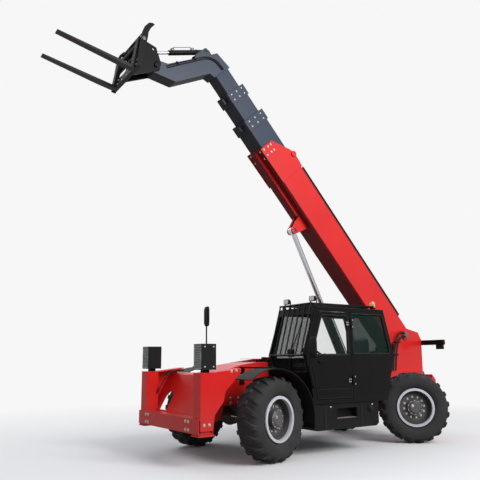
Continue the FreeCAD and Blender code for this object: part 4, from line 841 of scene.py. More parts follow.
@dataclass
class Wheel:
    """One wheel: its tyre with slanted lugs, its dark dish and its nuts, outer side along local +Y."""

    end: str
    side: str
    lug_count: int = 20
    outer: float = 0.585
    half: float = 0.200
    steps_round: int = 120
    stations: int = 12
    nut_count: int = 12
    nut_circle: float = 0.172
    nut_y: float = 0.0475

    def place(self) -> Place:
        """The wheel's frame, from its joint."""
        joint = JOINTS[f"roll_{self.end}_{self.side}"]
        x, y, _ = joint["axis"]
        turn = math.degrees(math.atan2(-x, y)) + (0.0 if self.side == "left" else 180.0)
        return Place(tuple(joint["pos_m"]), turn)

    @staticmethod
    def section() -> Array:
        """Half of the tyre's section from bead to crown, mirrored, as (radius, axial) pairs."""
        side = [(0.302, 0.143), (0.322, 0.1455), (0.327, 0.152), (0.338, 0.160), (0.356, 0.178),
                (0.362, 0.1795), (0.372, 0.186), (0.405, 0.1965), (0.440, 0.1985), (0.470, 0.1975),
                (0.490, 0.193), (0.494, 0.1945), (0.506, 0.189), (0.528, 0.173), (0.546, 0.150),
                (0.557, 0.115), (0.561, 0.070), (0.562, 0.0)]
        half = curve(side, 46)
        return np.vstack([half, half[-2::-1] * (1, -1)])

    def lugs(self) -> Patch:
        """Tread bars: along each bar the axial place grows from the middle past the shoulder while the angle
        leans, and across it a flat-topped profile lifts from the carcass to the outer radius."""
        u = np.linspace(0, 1, self.stations)
        axial = -0.010 + (self.half + 0.0045) * u
        lean = 0.088 * u ** 1.12 / self.outer
        top = self.outer - 0.0005 - 0.058 * np.clip((u - 0.66) / 0.34, 0, 1) ** 1.8
        rise = np.minimum(1, np.minimum(u, 1.0 - u) / 0.055)
        section = self.section()
        outward = section[section[:, 0] > 0.47]
        radii, heights = outward[np.argsort(outward[:, 1])].T
        base = np.interp(axial, heights, radii) - 0.004
        across = np.array([-1.16, -1.0, -0.90, 0.90, 1.0, 1.16])
        lift = np.array([0.0, 0.86, 1.0, 1.0, 0.86, 0.0])
        width = 0.028 + 0.004 * u
        radius = base[:, None] + (top - base)[:, None] * rise[:, None] * lift
        bars = []
        for side in SIDES:
            start = ring(self.lug_count, 0.0 if side > 0 else math.pi / self.lug_count)
            angle = start[:, None, None] + lean[None, :, None] + (width[:, None] * across / self.outer)[None]
            y = np.broadcast_to((side * axial)[None, :, None], angle.shape)
            bars.append(many(np.stack([radius * np.sin(angle), y, radius * np.cos(angle)], -1)))
        return joined(*bars)

    @staticmethod
    def dish() -> Patch:
        """Dished wheel disc a few millimetres thick, from the hub out to the barrel."""
        outer = [(0.1285, 0.0475), (0.214, 0.0475), (0.224, 0.043), (0.262, 0.0285), (0.2755, 0.027)]
        inner = [(0.2755, 0.0225), (0.262, 0.0235), (0.222, 0.0462), (0.1285, 0.0463)]
        return turned(outer + inner, 64, closed=True)

    @staticmethod
    def flange() -> Patch:
        """Bright ring over the rim's outer lip."""
        section = [(0.2766, 0.1250), (0.2766, 0.1705), (0.2795, 0.1762), (0.3165, 0.1762), (0.3194, 0.1715),
                   (0.3194, 0.1560), (0.3180, 0.1560), (0.3180, 0.1735), (0.2800, 0.1735), (0.2782, 0.1250)]
        return turned(section, 96, closed=True)

    def nuts(self) -> tuple[Patch, ...]:
        """Wheel nuts on their circle, small bolts round the hub cap, its plug and the tyre's valve."""
        nuts = circle((0.0, self.nut_y, 0.0), self.nut_circle, self.nut_count, -0.13)
        small = circle((0.0, 0.1250, 0.0), 0.118, 10, math.pi / 2)
        valve = curve([(0.0, 0.06, 0.268), (0.0, 0.075, 0.262), (0.0, 0.10, 0.262)], 8)
        return (hexagon_bolt(0.032, 0.024, "y", 1.2).copied(*nuts),
                hexagon_bolt(0.015, 0.008, "y", 1.15).copied(*small),
                hexagon_bolt(0.030, 0.012, "y").copied((0.045, 0.146, 0.03)), pipe(valve, 0.005, 8))

    def build(self) -> None:
        """Makes the pieces of the wheel."""
        tag = f"{self.end}_{self.side}"
        tyre = turned(self.section(), self.steps_round, closed=True)
        MAKE.group(self.place(), f"wheel_{tag}", (f"tyre_body_{tag}", Finish.TYRE, tyre, self.lugs()),
                   replaces=(f"tyre_{tag}",))
        MAKE.group(self.place(), f"wheel_{tag}", (f"wheel_dish_{tag}", Finish.DISC, self.dish()),
                   (f"wheel_nuts_{tag}", Finish.BOLT, *self.nuts()),
                   (f"rim_flange_{tag}", Finish.RIM, self.flange()))


# Studio

@dataclass
class Studio:
    """Pale floor, soft lamps and the camera at the photograph's viewing angle."""

    floor_size: float = 90.0
    white: Colour = (0.93, 0.93, 0.93)
    pale: Colour = (0.86, 0.86, 0.862)
    ground: Colour = (0.20, 0.19, 0.18)
    sky: Colour = (0.84, 0.88, 0.95)
    sky_strength: float = 0.52
    lamps: tuple[tuple[str, Point, float], ...] = (
        ("key_lamp", (-2.0, 11.0, 8.0), 1250.0), ("front_lamp", (11.0, 3.0, 5.0), 40.0),
        ("far_lamp", (0.0, -10.0, 8.0), 330.0))
    lamp_size: float = 6.0
    aim: Point = (0.0, 0.0, 2.0)
    camera_at: Point = (6.589101, 7.686100, 1.417722)
    right: Point = (-0.82971066, 0.5581292, -0.00848571)
    up: Point = (0.1093226, 0.17738829, 0.97805008)
    focal: float = 560.0
    image: float = 480.0

    def floor(self) -> None:
        """Large sheet, dark in the light that it throws back and pale to see, that fades out far off."""
        u = np.linspace(-self.floor_size, self.floor_size, 9)
        points = np.stack([*np.meshgrid(u, u, indexing="ij"), np.zeros((9, 9))], -1)
        s = Shader("floor_paint")
        length = s.value("ShaderNodeVectorMath", {"operation": "LENGTH"}, {0: s.position}, "Value")
        near, ground = (s.value("ShaderNodeBsdfPrincipled", None,
                                {"Base Color": (*colour, 1), "Roughness": 0.9})
                        for colour in (self.pale, self.ground))
        glow = s.value("ShaderNodeEmission", None, {"Color": (*self.white, 1)})
        pale = s.value("ShaderNodeMixShader", None, {0: ((length - 2.5) / 8.0).held(), 1: near, 2: glow})
        last = s.value("ShaderNodeMixShader", None, {0: s.seen(), 1: ground, 2: pale})
        s.node("ShaderNodeOutputMaterial", None, {0: last})
        mesh = MAKE.mesh("floor", grid(points))
        mesh.materials.append(s.material)
        MAKE.shown("floor", mesh)

    def world(self) -> None:
        """White backdrop for the camera, in reflections and through glass, and a softer sky for light."""
        world = bpy.data.worlds.new("studio")
        bpy.context.scene.world = world
        world.use_nodes = True
        tree = Tree(world.node_tree)
        sky, plain = (tree.value("ShaderNodeBackground", None, {"Color": (*colour, 1), "Strength": strength})
                      for colour, strength in ((self.sky, self.sky_strength), (self.white, 1.0)))
        both = tree.value("ShaderNodeMixShader", None, {0: tree.seen(), 1: sky, 2: plain})
        tree.node("ShaderNodeOutputWorld", None, {0: both})

    def lamp(self, name: str, at: Point, power: float) -> None:
        """One square soft lamp that points at the machine.

        Args:
            name: Name of the lamp.
            at: Its place.
            power: Its power in watts.
        """
        data = bpy.data.lights.new(name, "AREA")
        data.size = self.lamp_size
        data.energy = power
        obj = MAKE.shown(name, data)
        obj.location = at
        obj.rotation_mode = "QUATERNION"
        obj.rotation_quaternion = (Vector(self.aim) - Vector(at)).to_track_quat("-Z", "Y")

    def camera(self) -> None:
        """Camera placed by the perspective fit of the photograph."""
        data = bpy.data.cameras.new("camera")
        data.sensor_width = 36.0
        data.lens = self.focal / self.image * data.sensor_width
        data.clip_end = 300.0
        right, up = Vector(self.right), Vector(self.up)
        turn = Matrix((right, up, right.cross(up))).transposed()
        obj = MAKE.shown("camera", data)
        obj.matrix_world = Matrix.Translation(machine(*self.camera_at)) @ turn.to_4x4()
        bpy.context.scene.camera = obj

    def build(self) -> None:
        """Makes the whole studio."""
        bpy.context.scene.view_settings.view_transform = "Standard"
        self.floor()
        self.world()
        for lamp in self.lamps:
            self.lamp(*lamp)
        self.camera()


@dataclass
class Coats:
    """Finishes of the CAD nodes that stay as they are."""

    coats: tuple[tuple[Finish, tuple[str, ...]], ...] = (
        (Finish.RED, ("boom_outer", "engine_hood", "boom_tower", "frame_rails", "counterweight")),
        (Finish.NOSE_RED, ("nose_frame", "stabiliser_leg_left", "stabiliser_leg_right")),
        (Finish.BOOM_GREY, ("boom_second", "boom_third", "boom_inner")),
        (Finish.HEAD_GREY, ("boom_head",)),
        (Finish.BLACK, ("lift_barrel", "tilt_barrel", "carriage", "rear_bar", "cab_guard", "engine_bay")),
        (Finish.CAB_BLACK, ("cab_shell", "cab_door")),
        (Finish.AXLE, ("axle_front", "axle_rear", "knuckle_front_left", "knuckle_front_right",
                       "knuckle_rear_left", "knuckle_rear_right")),
        (Finish.DISC, ("rim_front_left", "rim_front_right", "rim_rear_left", "rim_rear_right")),
        (Finish.CHROME, ("lift_rod", "tilt_rod", "steering_rod_front", "steering_rod_rear")),
        (Finish.FENDER, ("fenders_front",)),
        (Finish.TANK, ("fuel_tank", "hydraulic_tank", "hose_tray", "mirrors")),
        (Finish.TRIM, ("seat_base", "steering_console", "nose_lamps", "roof_lamps")),
        (Finish.SEAT, ("seat_cushions",)),
        (Finish.GLASS, ("cab_glass",)),
        (Finish.CLEAR, ("door_glass",)),
        (Finish.ENGINE, ("engine_block",)),
        (Finish.FORK, ("forks",)),
    )

    def build(self) -> None:
        """Dresses every node."""
        for finish, nodes in self.coats:
            for name in nodes:
                slots = frame["nodes"][name].data.materials
                slots.clear()
                slots.append(material(finish))


# Nose

@dataclass
class Nose:
    """Fittings of the nose: lamp guards and lenses, bolts, weld seams and the jack hoses."""

    beam_front: float = 2.730
    beam_top: float = 0.640
    half: float = 0.950
    post_in: float = 0.750
    post_back: float = 2.500
    post_front: float = 2.700
    lamp_x: float = 2.686
    lens_x: float = 2.609
    lamp_y: float = 0.850
    lamp_z: float = 1.455
    guard_half: Pair = (0.095, 0.160)
    wires: tuple[int, int] = (9, 15)
    wire: float = 0.0022

    def lens(self, side: int) -> Patch:
        """Round lamp glass: a shallow dome in front of the lamp."""
        dome = [(0.079, -0.006), (0.079, 0.004), (0.070, 0.010), (0.045, 0.015), (0.012, 0.018)]
        return turned(dome, 32, "x").copied((self.lens_x, side * self.lamp_y, self.lamp_z))

    def bezel(self, side: int) -> Patch:
        """Ring round the lamp glass."""
        section = [(0.0795, -0.012), (0.087, -0.010), (0.089, 0.002), (0.087, 0.011), (0.0795, 0.012)]
        return turned(section, 36, "x", True).copied((self.lens_x, side * self.lamp_y, self.lamp_z))

    def guard(self, side: int) -> Patch:
        """Crossed wires in front of a lamp, with a rim.

        Args:
            side: 1 for the left, -1 for the right.

        Returns:
            The patch.
        """
        (half_y, half_z), x = self.guard_half, self.lamp_x
        y, z = side * self.lamp_y, self.lamp_z
        y0, y1, z0, z1 = y - half_y, y + half_y, z - half_z, z + half_z
        upright = pipe(np.linspace((x, 0, z0), (x, 0, z1), 3), self.wire, 6)
        level = pipe(np.linspace((x, y0, 0), (x, y1, 0), 3), self.wire, 6)
        rim = [(x, y0, z0), (x, y1, z0), (x, y1, z1), (x, y0, z1)]
        return joined(upright.copied(*[(0, at, 0) for at in np.linspace(y0, y1, self.wires[0])]),
                      level.copied(*[(self.wire, 0, at) for at in np.linspace(z0, z1, self.wires[1])]),
                      pipe(rounded_path(rim, 0.012), 0.0045, 8, True))

    def bolt_heads(self, side: int) -> Patch:
        """Bolts of the beam's end plate, of the wing and of the lamp box.

        Args:
            side: 1 for the left, -1 for the right.

        Returns:
            The patch.
        """
        y = side * self.half
        face = [(self.beam_front, side * across, z) for across in (0.60, 0.68) for z in (0.485, 0.595)]
        wing = [(2.56, y, 0.56), (2.64, y, 0.56), (2.12, y, 1.262), (2.20, y, 1.255)]
        case = [(x, y + side * 0.010, z) for x in (2.50, 2.64) for z in (1.32, 1.59)]
        return joined(bolts(face, "x", 1, 0.028, 0.014), bolts(wing, "y", side, 0.024, 0.012),
                      bolts(case, "y", side, 0.014, 0.006))

    def weld(self, side: int) -> Patch:
        """Weld beads where a post stands on the beam.

        Args:
            side: 1 for the left, -1 for the right.

        Returns:
            The patch.
        """
        x, y, z = self.post_front + 0.002, side * (self.post_in - 0.002), self.beam_top
        foot = np.linspace((x, y, z + 0.002), (x, side * (self.half - 0.01), z + 0.002), 12)
        rise = np.linspace((x, y, z + 0.003), (self.post_back + 0.03, y, z + 0.003), 12)
        return joined(pipe(foot, 0.0045, 8), pipe(rise, 0.0045, 8))

    def sheet_weld(self) -> Patch:
        """Weld bead along the foot of the sloped sheet."""
        x, z = self.post_back + 0.033, self.beam_top + 0.003
        return pipe(np.linspace((x, -self.post_in, z), (x, self.post_in, z), 60), 0.004, 8)

    def jack_pipes(self, side: int) -> Patch:
        """Pipes that rise inside a post's wing to its top and turn in over the sloped sheet.

        Args:
            side: 1 for the left, -1 for the right.

        Returns:
            The patch.
        """
        made = []
        for step in (0.0, 0.030):
            y = side * (self.post_in - 0.030 - step)
            route = [(2.52, y, 0.90 + step), (2.47, y, 1.02 + step), (2.36, y, 1.16 + step),
                     (2.22, y, 1.235 + step / 2), (2.06, y, 1.245 + step / 2)]
            made.append(pipe(curve(route, 26), 0.009, 10))
        return joined(*made)

    def build(self) -> None:
        """Makes the fittings."""
        MAKE.group(MACHINE, "chassis",
                   ("nose_lenses", Finish.LAMP, *map(self.lens, SIDES)),
                   ("nose_bezels", Finish.TRIM, *map(self.bezel, SIDES)),
                   ("lamp_guards", Finish.GUARD, *map(self.guard, SIDES)),
                   ("nose_bolts", Finish.BOLT, *map(self.bolt_heads, SIDES)),
                   ("nose_welds", Finish.NOSE_RED, *map(self.weld, SIDES), self.sheet_weld()),
                   ("jack_pipes", Finish.HOSE, *map(self.jack_pipes, SIDES)))


# Chassis

@dataclass
class Chassis:
    """Fittings of the chassis: tank step, cap and straps, rail bolts, tow pin and tail lamps."""

    tank_side: float = 1.150
    tank_low: float = 0.370
    tank_high: float = 0.745
    cap_at: Point = (-0.300, 1.150, 0.640)
    strap_x: Pair = (-0.10, 0.66)
    step_low: Point = (0.006, 1.036, 0.521)
    step_high: Point = (0.414, 1.146, 0.529)
    studs: tuple[int, int] = (14, 5)
    rail_side: float = 0.330
    axle_x: Pair = (-1.61, 1.61)
    tow_at: Point = (-2.860, 0.0, 0.860)
    bar_back: float = -2.830
    bar_low: float = 1.660
    marker_x: Pair = (0.55, -0.34)

    def cap(self) -> Patch:
        """Fuel cap: a drum with a domed face and a grip across it."""
        face = [(0.050, -0.010), (0.058, 0.0), (0.058, 0.006), (0.047, 0.008), (0.047, 0.026), (0.040, 0.032),
                (0.015, 0.034)]
        grip = block((-0.040, 0.028, -0.006), (0.040, 0.040, 0.006), 0.004)
        return joined(turned(face, 36), grip).copied(self.cap_at)

    def strap(self, x: float) -> Patch:
        """Steel strap round the tank, from the chassis over its outer side."""
        y, z = self.tank_side + 0.002, self.tank_low - 0.002
        path = rounded_path([(x, 0.45, z), (x, y, z), (x, y, self.tank_high - 0.004)], 0.03, 6, False)
        return strip(path, (1, 0, 0), 0.045, 0.004)

    def tread(self) -> Patch:
        """Step plate with rows of raised studs in the tank's recess."""
        (x0, y0, _), (x1, y1, z) = self.step_low, self.step_high
        places = [(x, y, z) for x in np.linspace(x0 + 0.02, x1 - 0.02, self.studs[0])
                  for y in np.linspace(y0 + 0.018, y1 - 0.012, self.studs[1])]
        stud = turned([(0.0062, -0.001), (0.0055, 0.003), (0.0030, 0.0035)], 8, "z")
        return joined(block(self.step_low, self.step_high, 0.002), stud.copied(*places))

    def rail_bolts(self, side: int) -> Patch:
        """Bolts of the axle seats and of the cross tubes on one rail.

        Args:
            side: 1 for the left, -1 for the right.

        Returns:
            The patch.
        """
        y = side * self.rail_side
        spots = [(x + dx, y, z) for x in self.axle_x for dx in (-0.20, -0.07, 0.07, 0.20)
                 for z in (0.775, 0.84)]
        spots += [(x, y, 0.53) for x in (-1.0, 0.15, 1.05)]
        return bolts(spots, "y", side, 0.030, 0.014)

    def tow_pin(self) -> Patch:
        """Tow pin through the jaws with a ring to pull it by."""
        shaft = turned([(0.018, -0.180), (0.0185, -0.170), (0.0185, 0.0), (0.030, 0.002), (0.030, 0.018),
                        (0.024, 0.024)], 24, "z")
        loop = pipe(circle((0.0, 0.0, 0.042), 0.022, 28), 0.0035, 8, True)
        return joined(shaft, loop).copied(self.tow_at)

    def tail(self, side: int, span: Pair, depth: Pair, drop: Pair, radius: float, steps: int = 2) -> Patch:
        """Block of a tail lamp under one end of the rear bar.

        Args:
            side: Left or right end.
            span: Its outer and inner side.
            depth: Its rear and front, from the bar's back.
            drop: Its foot and top, from the bar's underside.
            radius: Radius of its edges.
            steps: Points on each eighth of a turn.

        Returns:
            The block.
        """
        corners = [(self.bar_back + d, side * y, self.bar_low + z) for d, y, z in zip(depth, span, drop)]
        return block(*corners, radius, steps)

    def build(self) -> None:
        """Makes the fittings."""
        marker = turned([(0.011, 0.0), (0.011, 0.005), (0.006, 0.008)], 16)
        face, drop = (0.004, 0.012), (-0.078, -0.008)
        case = ((0.76, 0.60), (0.010, 0.055), (-0.085, 0.002), 0.008, 3)
        MAKE.group(MACHINE, "chassis",
                   ("fuel_cap", Finish.TRIM, self.cap()),
                   ("tank_straps", Finish.BLACK, *map(self.strap, self.strap_x)),
                   ("step_tread", Finish.PIN, self.tread()),
                   ("rail_bolts", Finish.BOLT, *map(self.rail_bolts, SIDES)),
                   ("tow_pin", Finish.PIN, self.tow_pin()),
                   ("tail_housings", Finish.TRIM, *(self.tail(side, *case) for side in SIDES)),
                   ("tail_lenses", Finish.TAIL, *(self.tail(side, (0.750, 0.690), face, drop, 0.003)
                                                  for side in SIDES)),
                   ("turn_lenses", Finish.AMBER, *(self.tail(side, (0.682, 0.612), face, drop, 0.003)
                                                   for side in SIDES)),
                   ("marker_lamps", Finish.LAMP,
                    marker.copied(*[(x, self.tank_side, 0.700) for x in self.marker_x])))


# Hood

@dataclass
class Hood:
    """Fittings of the engine hood: a dark sheet behind the louvres as painted shade, latches, pressed ribs,
    hinge bolts and handle.
    """

    side: float = -1.180
    louvre: Sides = (-0.705, -0.115, 0.895, 1.250)
    latch_x: Pair = (-0.50, 0.50)
    latch_z: float = 0.850
    top: float = 1.420
    rib_y: Pair = (-0.62, -0.90)
    hinge_x: Pair = (-0.620, 0.620)
    hinge_y: float = -0.435

    def screen(self) -> Patch:
        """Dark sheet behind the louvres, painted shade of the engine bay."""
        x0, x1, z0, z1 = self.louvre
        return block((x0, self.side + 0.030, z0), (x1, self.side + 0.034, z1), 0.0015)

    def latch(self, x: float) -> Patch:
        """Paddle latch: a round-cornered dish with a flap."""
        y, z = self.side, self.latch_z
        return joined(block((x - 0.055, y + 0.001, z - 0.030), (x + 0.055, y + 0.014, z + 0.030), 0.006, 3),
                      block((x - 0.038, y - 0.006, z - 0.018), (x + 0.038, y + 0.006, z + 0.014), 0.005, 3))

    def rib(self, y: float) -> Patch:
        """Pressed rib along the hood's top."""
        z = self.top + 0.0015
        return strip(np.linspace((-0.80, y, z), (0.80, y, z), 24), (0, 1, 0), 0.050, 0.006)

    def handle(self) -> Patch:
        """Grab handle on the hood's outer face."""
        near, far, z = self.side + 0.002, self.side - 0.026, 1.02
        path = [(0.10, near, z), (0.10, far, z), (0.36, far, z), (0.36, near, z)]
        return pipe(rounded_path(path, 0.014, 6, False), 0.007, 10)

    def build(self) -> None:
        """Makes the fittings."""
        screws = [(x + dx, self.hinge_y, self.top + 0.006) for x in self.hinge_x for dx in (-0.03, 0.03)]
        MAKE.group(MACHINE, "engine_hood",
                   # Dark sheet behind the louvres: painted shade of the engine bay.
                   ("hood_louvre_shade", Finish.TRIM, self.screen()),
                   ("hood_latches", Finish.TRIM, *map(self.latch, self.latch_x)),
                   ("hood_ribs", Finish.RED, *map(self.rib, self.rib_y)),
                   ("hood_hinge_bolts", Finish.BOLT, bolts(screws, "z", 1, 0.016, 0.008)),
                   ("hood_handle", Finish.BLACK, self.handle()))


@dataclass
class EngineTrim:
    """What shows of the engine when its hood is up: cover, filter and pipes."""

    top: float = 1.280
    filter_at: Point = (0.300, -0.790, 1.318)
    filter_long: float = 0.30

    def cover(self) -> tuple[Patch, ...]:
        """Valve cover with ribs across it."""
        z = self.top
        return (block((-0.45, -0.86, z - 0.004), (0.12, -0.64, z + 0.055), 0.022, 4),
                *(block((x - 0.006, -0.85, z + 0.050), (x + 0.006, -0.65, z + 0.062), 0.003)
                  for x in np.linspace(-0.38, 0.05, 7)))

    def filter(self) -> Patch:
        """Air filter: a ribbed canister."""
        length = np.linspace(0, 1, 25)
        radius = 0.072 + 0.003 * np.sign(np.sin(length * 12 * math.pi + 0.3))
        long = self.filter_long
        profile = [(0.050, -0.012), *zip(radius, length * long), (0.050, long + 0.012)]
        return turned(profile, 32).copied(self.filter_at)

    def fuel_pipe(self, x: float) -> Patch:
        """Fuel pipe from the cover to the side of the block."""
        route = [(x, -0.66, 0.045), (x, -0.62, 0.060), (x + 0.01, -0.56, 0.030), (x + 0.015, -0.52, -0.003)]
        return pipe(curve(route, 18) + (0, 0, self.top), 0.006, 8)

    def build(self) -> None:
        """Makes the pieces."""
        MAKE.group(MACHINE, "chassis", ("engine_cover", Finish.ENGINE, *self.cover()),
                   ("engine_filter", Finish.TRIM, self.filter()))
        pipes = [self.fuel_pipe(x).at(MACHINE) for x in np.linspace(-0.36, 0.03, 4)]
        MAKE.piece("engine_pipes", pipes, Finish.PIN, "chassis", "chrome")


# Cab

@dataclass
class Cab:
    """Trim of the cab: window seals, roof pane, wiper, grab rail, pressed lines, gutter and hinge bolts."""

    outer: float = 1.170
    inner: float = 0.270
    seal: Pair = (0.016, 0.018)
    rear_pane: Outline = ((-0.815, 1.490), (0.035, 1.490), (0.035, 2.120), (-0.660, 2.120))
    right_pane: Outline = ((0.125, 1.420), (0.905, 1.420), (0.905, 1.500), (0.7154, 2.120), (0.125, 2.120))
    door_pane: Outline = ((0.140, 1.470), (0.890, 1.470), (0.885, 1.510), (0.680, 2.080), (0.140, 2.080))
    door_edge: Outline = ((0.096, 0.826), (0.814, 0.826), (0.839, 1.080), (0.939, 1.480), (0.720, 2.124),
                          (0.096, 2.124))
    nose_low: Pair = (0.930, 1.080)
    waist: Pair = (1.040, 1.480)
    roof_front: Pair = (0.790, 2.210)
    screen_y: Pair = (0.315, 1.125)
    screen_z: Pair = (1.220, 2.100)
    back_y: Pair = (0.335, 1.105)
    back_z: Pair = (1.525, 2.120)
    back_low: Pair = (-0.900, 1.480)
    back_top: Pair = (-0.700, 2.210)
    roof_hole: Sides = (-0.549, 0.639, 0.401, 1.039)
    roof_z: float = 2.190
    hinge_z: Pair = (1.080, 1.960)

    @staticmethod
    def on_line(low: Pair, high: Pair, z: Array | float, out: float = 0.0) -> Array:
        """X of a wall between two points at heights, moved out by some metres."""
        return low[0] + (np.asarray(z) - low[1]) / (high[1] - low[1]) * (high[0] - low[0]) + out

    @staticmethod
    def side_loop(outline: Outline, y: float, radius: float) -> Array:
        """Round-cornered loop through (x, z) corners in a plane across the machine."""
        return rounded_path([(x, y, z) for x, z in outline], radius)

    def side_seal(self, outline: Outline, y: float) -> Patch:
        """Rubber seal round a side pane."""
        return strip(self.side_loop(outline, y, 0.035), (0, 1, 0), *self.seal, True)

    def screen_path(self) -> Array:
        """Loop round the windscreen, bent at the waist as the wall is."""
        (low, high), (y0, y1) = self.screen_z, self.screen_y
        edge = [(self.on_line(self.nose_low, self.waist, low), low), self.waist,
                (self.on_line(self.waist, self.roof_front, high), high)]
        return rounded_path([(x, y0, z) for x, z in edge] + [(x, y1, z) for x, z in edge[::-1]], 0.045, 7)

    def back_path(self) -> Array:
        """Loop round the rear window."""
        (y0, y1), (z0, z1) = self.back_y, self.back_z
        x0, x1 = self.on_line(self.back_low, self.back_top, np.array(self.back_z))
        return rounded_path([(x0, y0, z0), (x0, y1, z0), (x1, y1, z1), (x1, y0, z1)], 0.05, 7)

    @staticmethod
    def level_loop(sides: Sides, z: float, radius: float, steps: int = 6) -> Array:
        """Round-cornered loop at one height."""
        x0, x1, y0, y1 = sides
        return rounded_path([(x0, y0, z), (x1, y0, z), (x1, y1, z), (x0, y1, z)], radius, steps)

    def seals(self) -> tuple[Patch, ...]:
        """Seals of the fixed panes."""
        x, z = self.waist
        bar = np.linspace((x + 0.002, self.screen_y[0], z), (x + 0.002, self.screen_y[1], z), 12)
        return (self.side_seal(self.rear_pane, self.outer), self.side_seal(self.rear_pane, self.inner),
                self.side_seal(self.right_pane, self.inner), pipe(self.screen_path(), 0.009, 8, True),
                pipe(self.back_path(), 0.009, 8, True),
                pipe(self.level_loop(self.roof_hole, self.roof_z + 0.02, 0.05, 7), 0.008, 8, True),
                pipe(bar, 0.005, 8))

    def roof_pane(self) -> Patch:
        """Pane in the roof opening."""
        x0, x1, y0, y1 = self.roof_hole
        return block((x0, y0, self.roof_z - 0.003), (x1, y1, self.roof_z + 0.003), 0.001)

    def wiper(self) -> tuple[Patch, ...]:
        """Wiper: an arm along the glass, a blade and a motor cap."""
        z = np.array([1.205, 1.34, 1.46, 1.62, 1.80])
        x = np.concatenate([self.on_line(self.nose_low, self.waist, z[:3], 0.006),
                            self.on_line(self.waist, self.roof_front, z[3:], 0.006)])
        y = np.array([0.74, 0.775, 0.805, 0.845, 0.885])
        arm = pipe(curve(np.stack([x, y, z], -1), 24), np.linspace(0.009, 0.004, 24), 8)
        blade_z = np.linspace(1.55, 2.03, 20)
        blade_x = self.on_line(self.waist, self.roof_front, blade_z, 0.001)
        blade = np.stack([blade_x, np.linspace(0.86, 0.915, 20), blade_z], -1)
        cap = turned([(0.030, -0.010), (0.030, 0.010), (0.016, 0.020)], 20, "x")
        return arm, strip(blade, (0, 1, 0), 0.012, 0.010), cap.copied((x[0] - 0.004, y[0], z[0]))

    def rail(self) -> Patch:
        """Grab rail up the front pillar."""
        near, far = self.outer - 0.002, self.outer + 0.030
        path = [(0.905, near, 0.99), (0.912, far, 1.01), (0.975, far, 1.29), (0.978, near, 1.31)]
        return pipe(rounded_path(path, 0.016, 6, False), 0.011, 12)

    def crease(self, start: Pair, stop: Pair, count: int) -> Patch:
        """Pressed line on the cab's side or its door, between two (x, z) points.

        Args:
            start: Its first end.
            stop: Its last end.
            count: Points along it.

        Returns:
            The patch.
        """
        y = self.outer + 0.0005
        path = np.linspace((start[0], y, start[1]), (stop[0], y, stop[1]), count)
        return strip(path, (0, 1, 0), 0.005, 0.012)

    def creases(self) -> tuple[Patch, ...]:
        """Pressed lines of the lower body, behind the door and under the rear window."""
        return (self.crease((-0.489, 1.354), (-0.170, 0.790), 20),
                self.crease((-0.860, 1.400), (0.060, 1.400), 30),
                self.crease((-0.690, 0.775), (0.880, 0.775), 40))

    def gutter(self) -> Patch:
        """Rain gutter round the roof's edge."""
        path = self.level_loop((-0.695, 0.785, self.inner, self.outer), self.roof_front[1] - 0.010, 0.04)
        return strip(path, (0, 0, 1), 0.014, 0.010, True)

    def hinge_bolts(self) -> Patch:
        """Bolts of the door hinges on the cab."""
        spots = [(0.045, self.outer + 0.026, z + dz) for z in self.hinge_z for dz in (-0.055, 0.055)]
        return bolts(spots, "y", 1, 0.013, 0.006)

    def strap_bolts(self) -> Patch:
        """Bolts of the hinge straps on the door."""
        spots = [(x, self.outer + 0.008, z + dz) for x in (0.125, 0.155) for z in self.hinge_z
                 for dz in (-0.018, 0.018)]
        return bolts(spots, "y", 1, 0.014, 0.006)

    def door_trim(self) -> tuple[Patch, ...]:
        """Edge seal of the door on its outer face, lock and lower kick plate line."""
        edge = strip(self.side_loop(self.door_edge, self.outer + 0.0005, 0.05), (0, 1, 0), 0.005, 0.010, True)
        lock = turned([(0.014, -0.002), (0.014, 0.006), (0.009, 0.009)], 20).copied((0.81, self.outer, 1.33))
        return edge, lock, self.crease((0.14, 0.96), (0.80, 0.96), 20)

    def build(self) -> None:
        """Makes the trim."""
        feet = [block((1.030, y - 0.020, 1.455), (1.068, y + 0.020, 1.485), 0.006, 3) for y in (0.34, 1.10)]
        MAKE.group(MACHINE, "chassis", ("cab_seals", Finish.SEAL, *self.seals()))
        MAKE.group(MACHINE, "cab_door",
                   ("door_seal", Finish.SEAL, self.side_seal(self.door_pane, self.outer)),
                   ("door_trim", Finish.TRIM, *self.door_trim()),
                   ("door_strap_bolts", Finish.BOLT, self.strap_bolts()))
        MAKE.group(MACHINE, "chassis",
                   ("roof_pane", Finish.GLASS, self.roof_pane()),
                   ("cab_wiper", Finish.TRIM, *self.wiper()),
                   ("cab_rail", Finish.BLACK, self.rail()),
                   ("cab_creases", Finish.CAB_BLACK, *self.creases()),
                   ("cab_gutter", Finish.TRIM, self.gutter()),
                   ("cab_hinge_bolts", Finish.BOLT, self.hinge_bolts()),
                   ("guard_feet", Finish.BLACK, *feet))


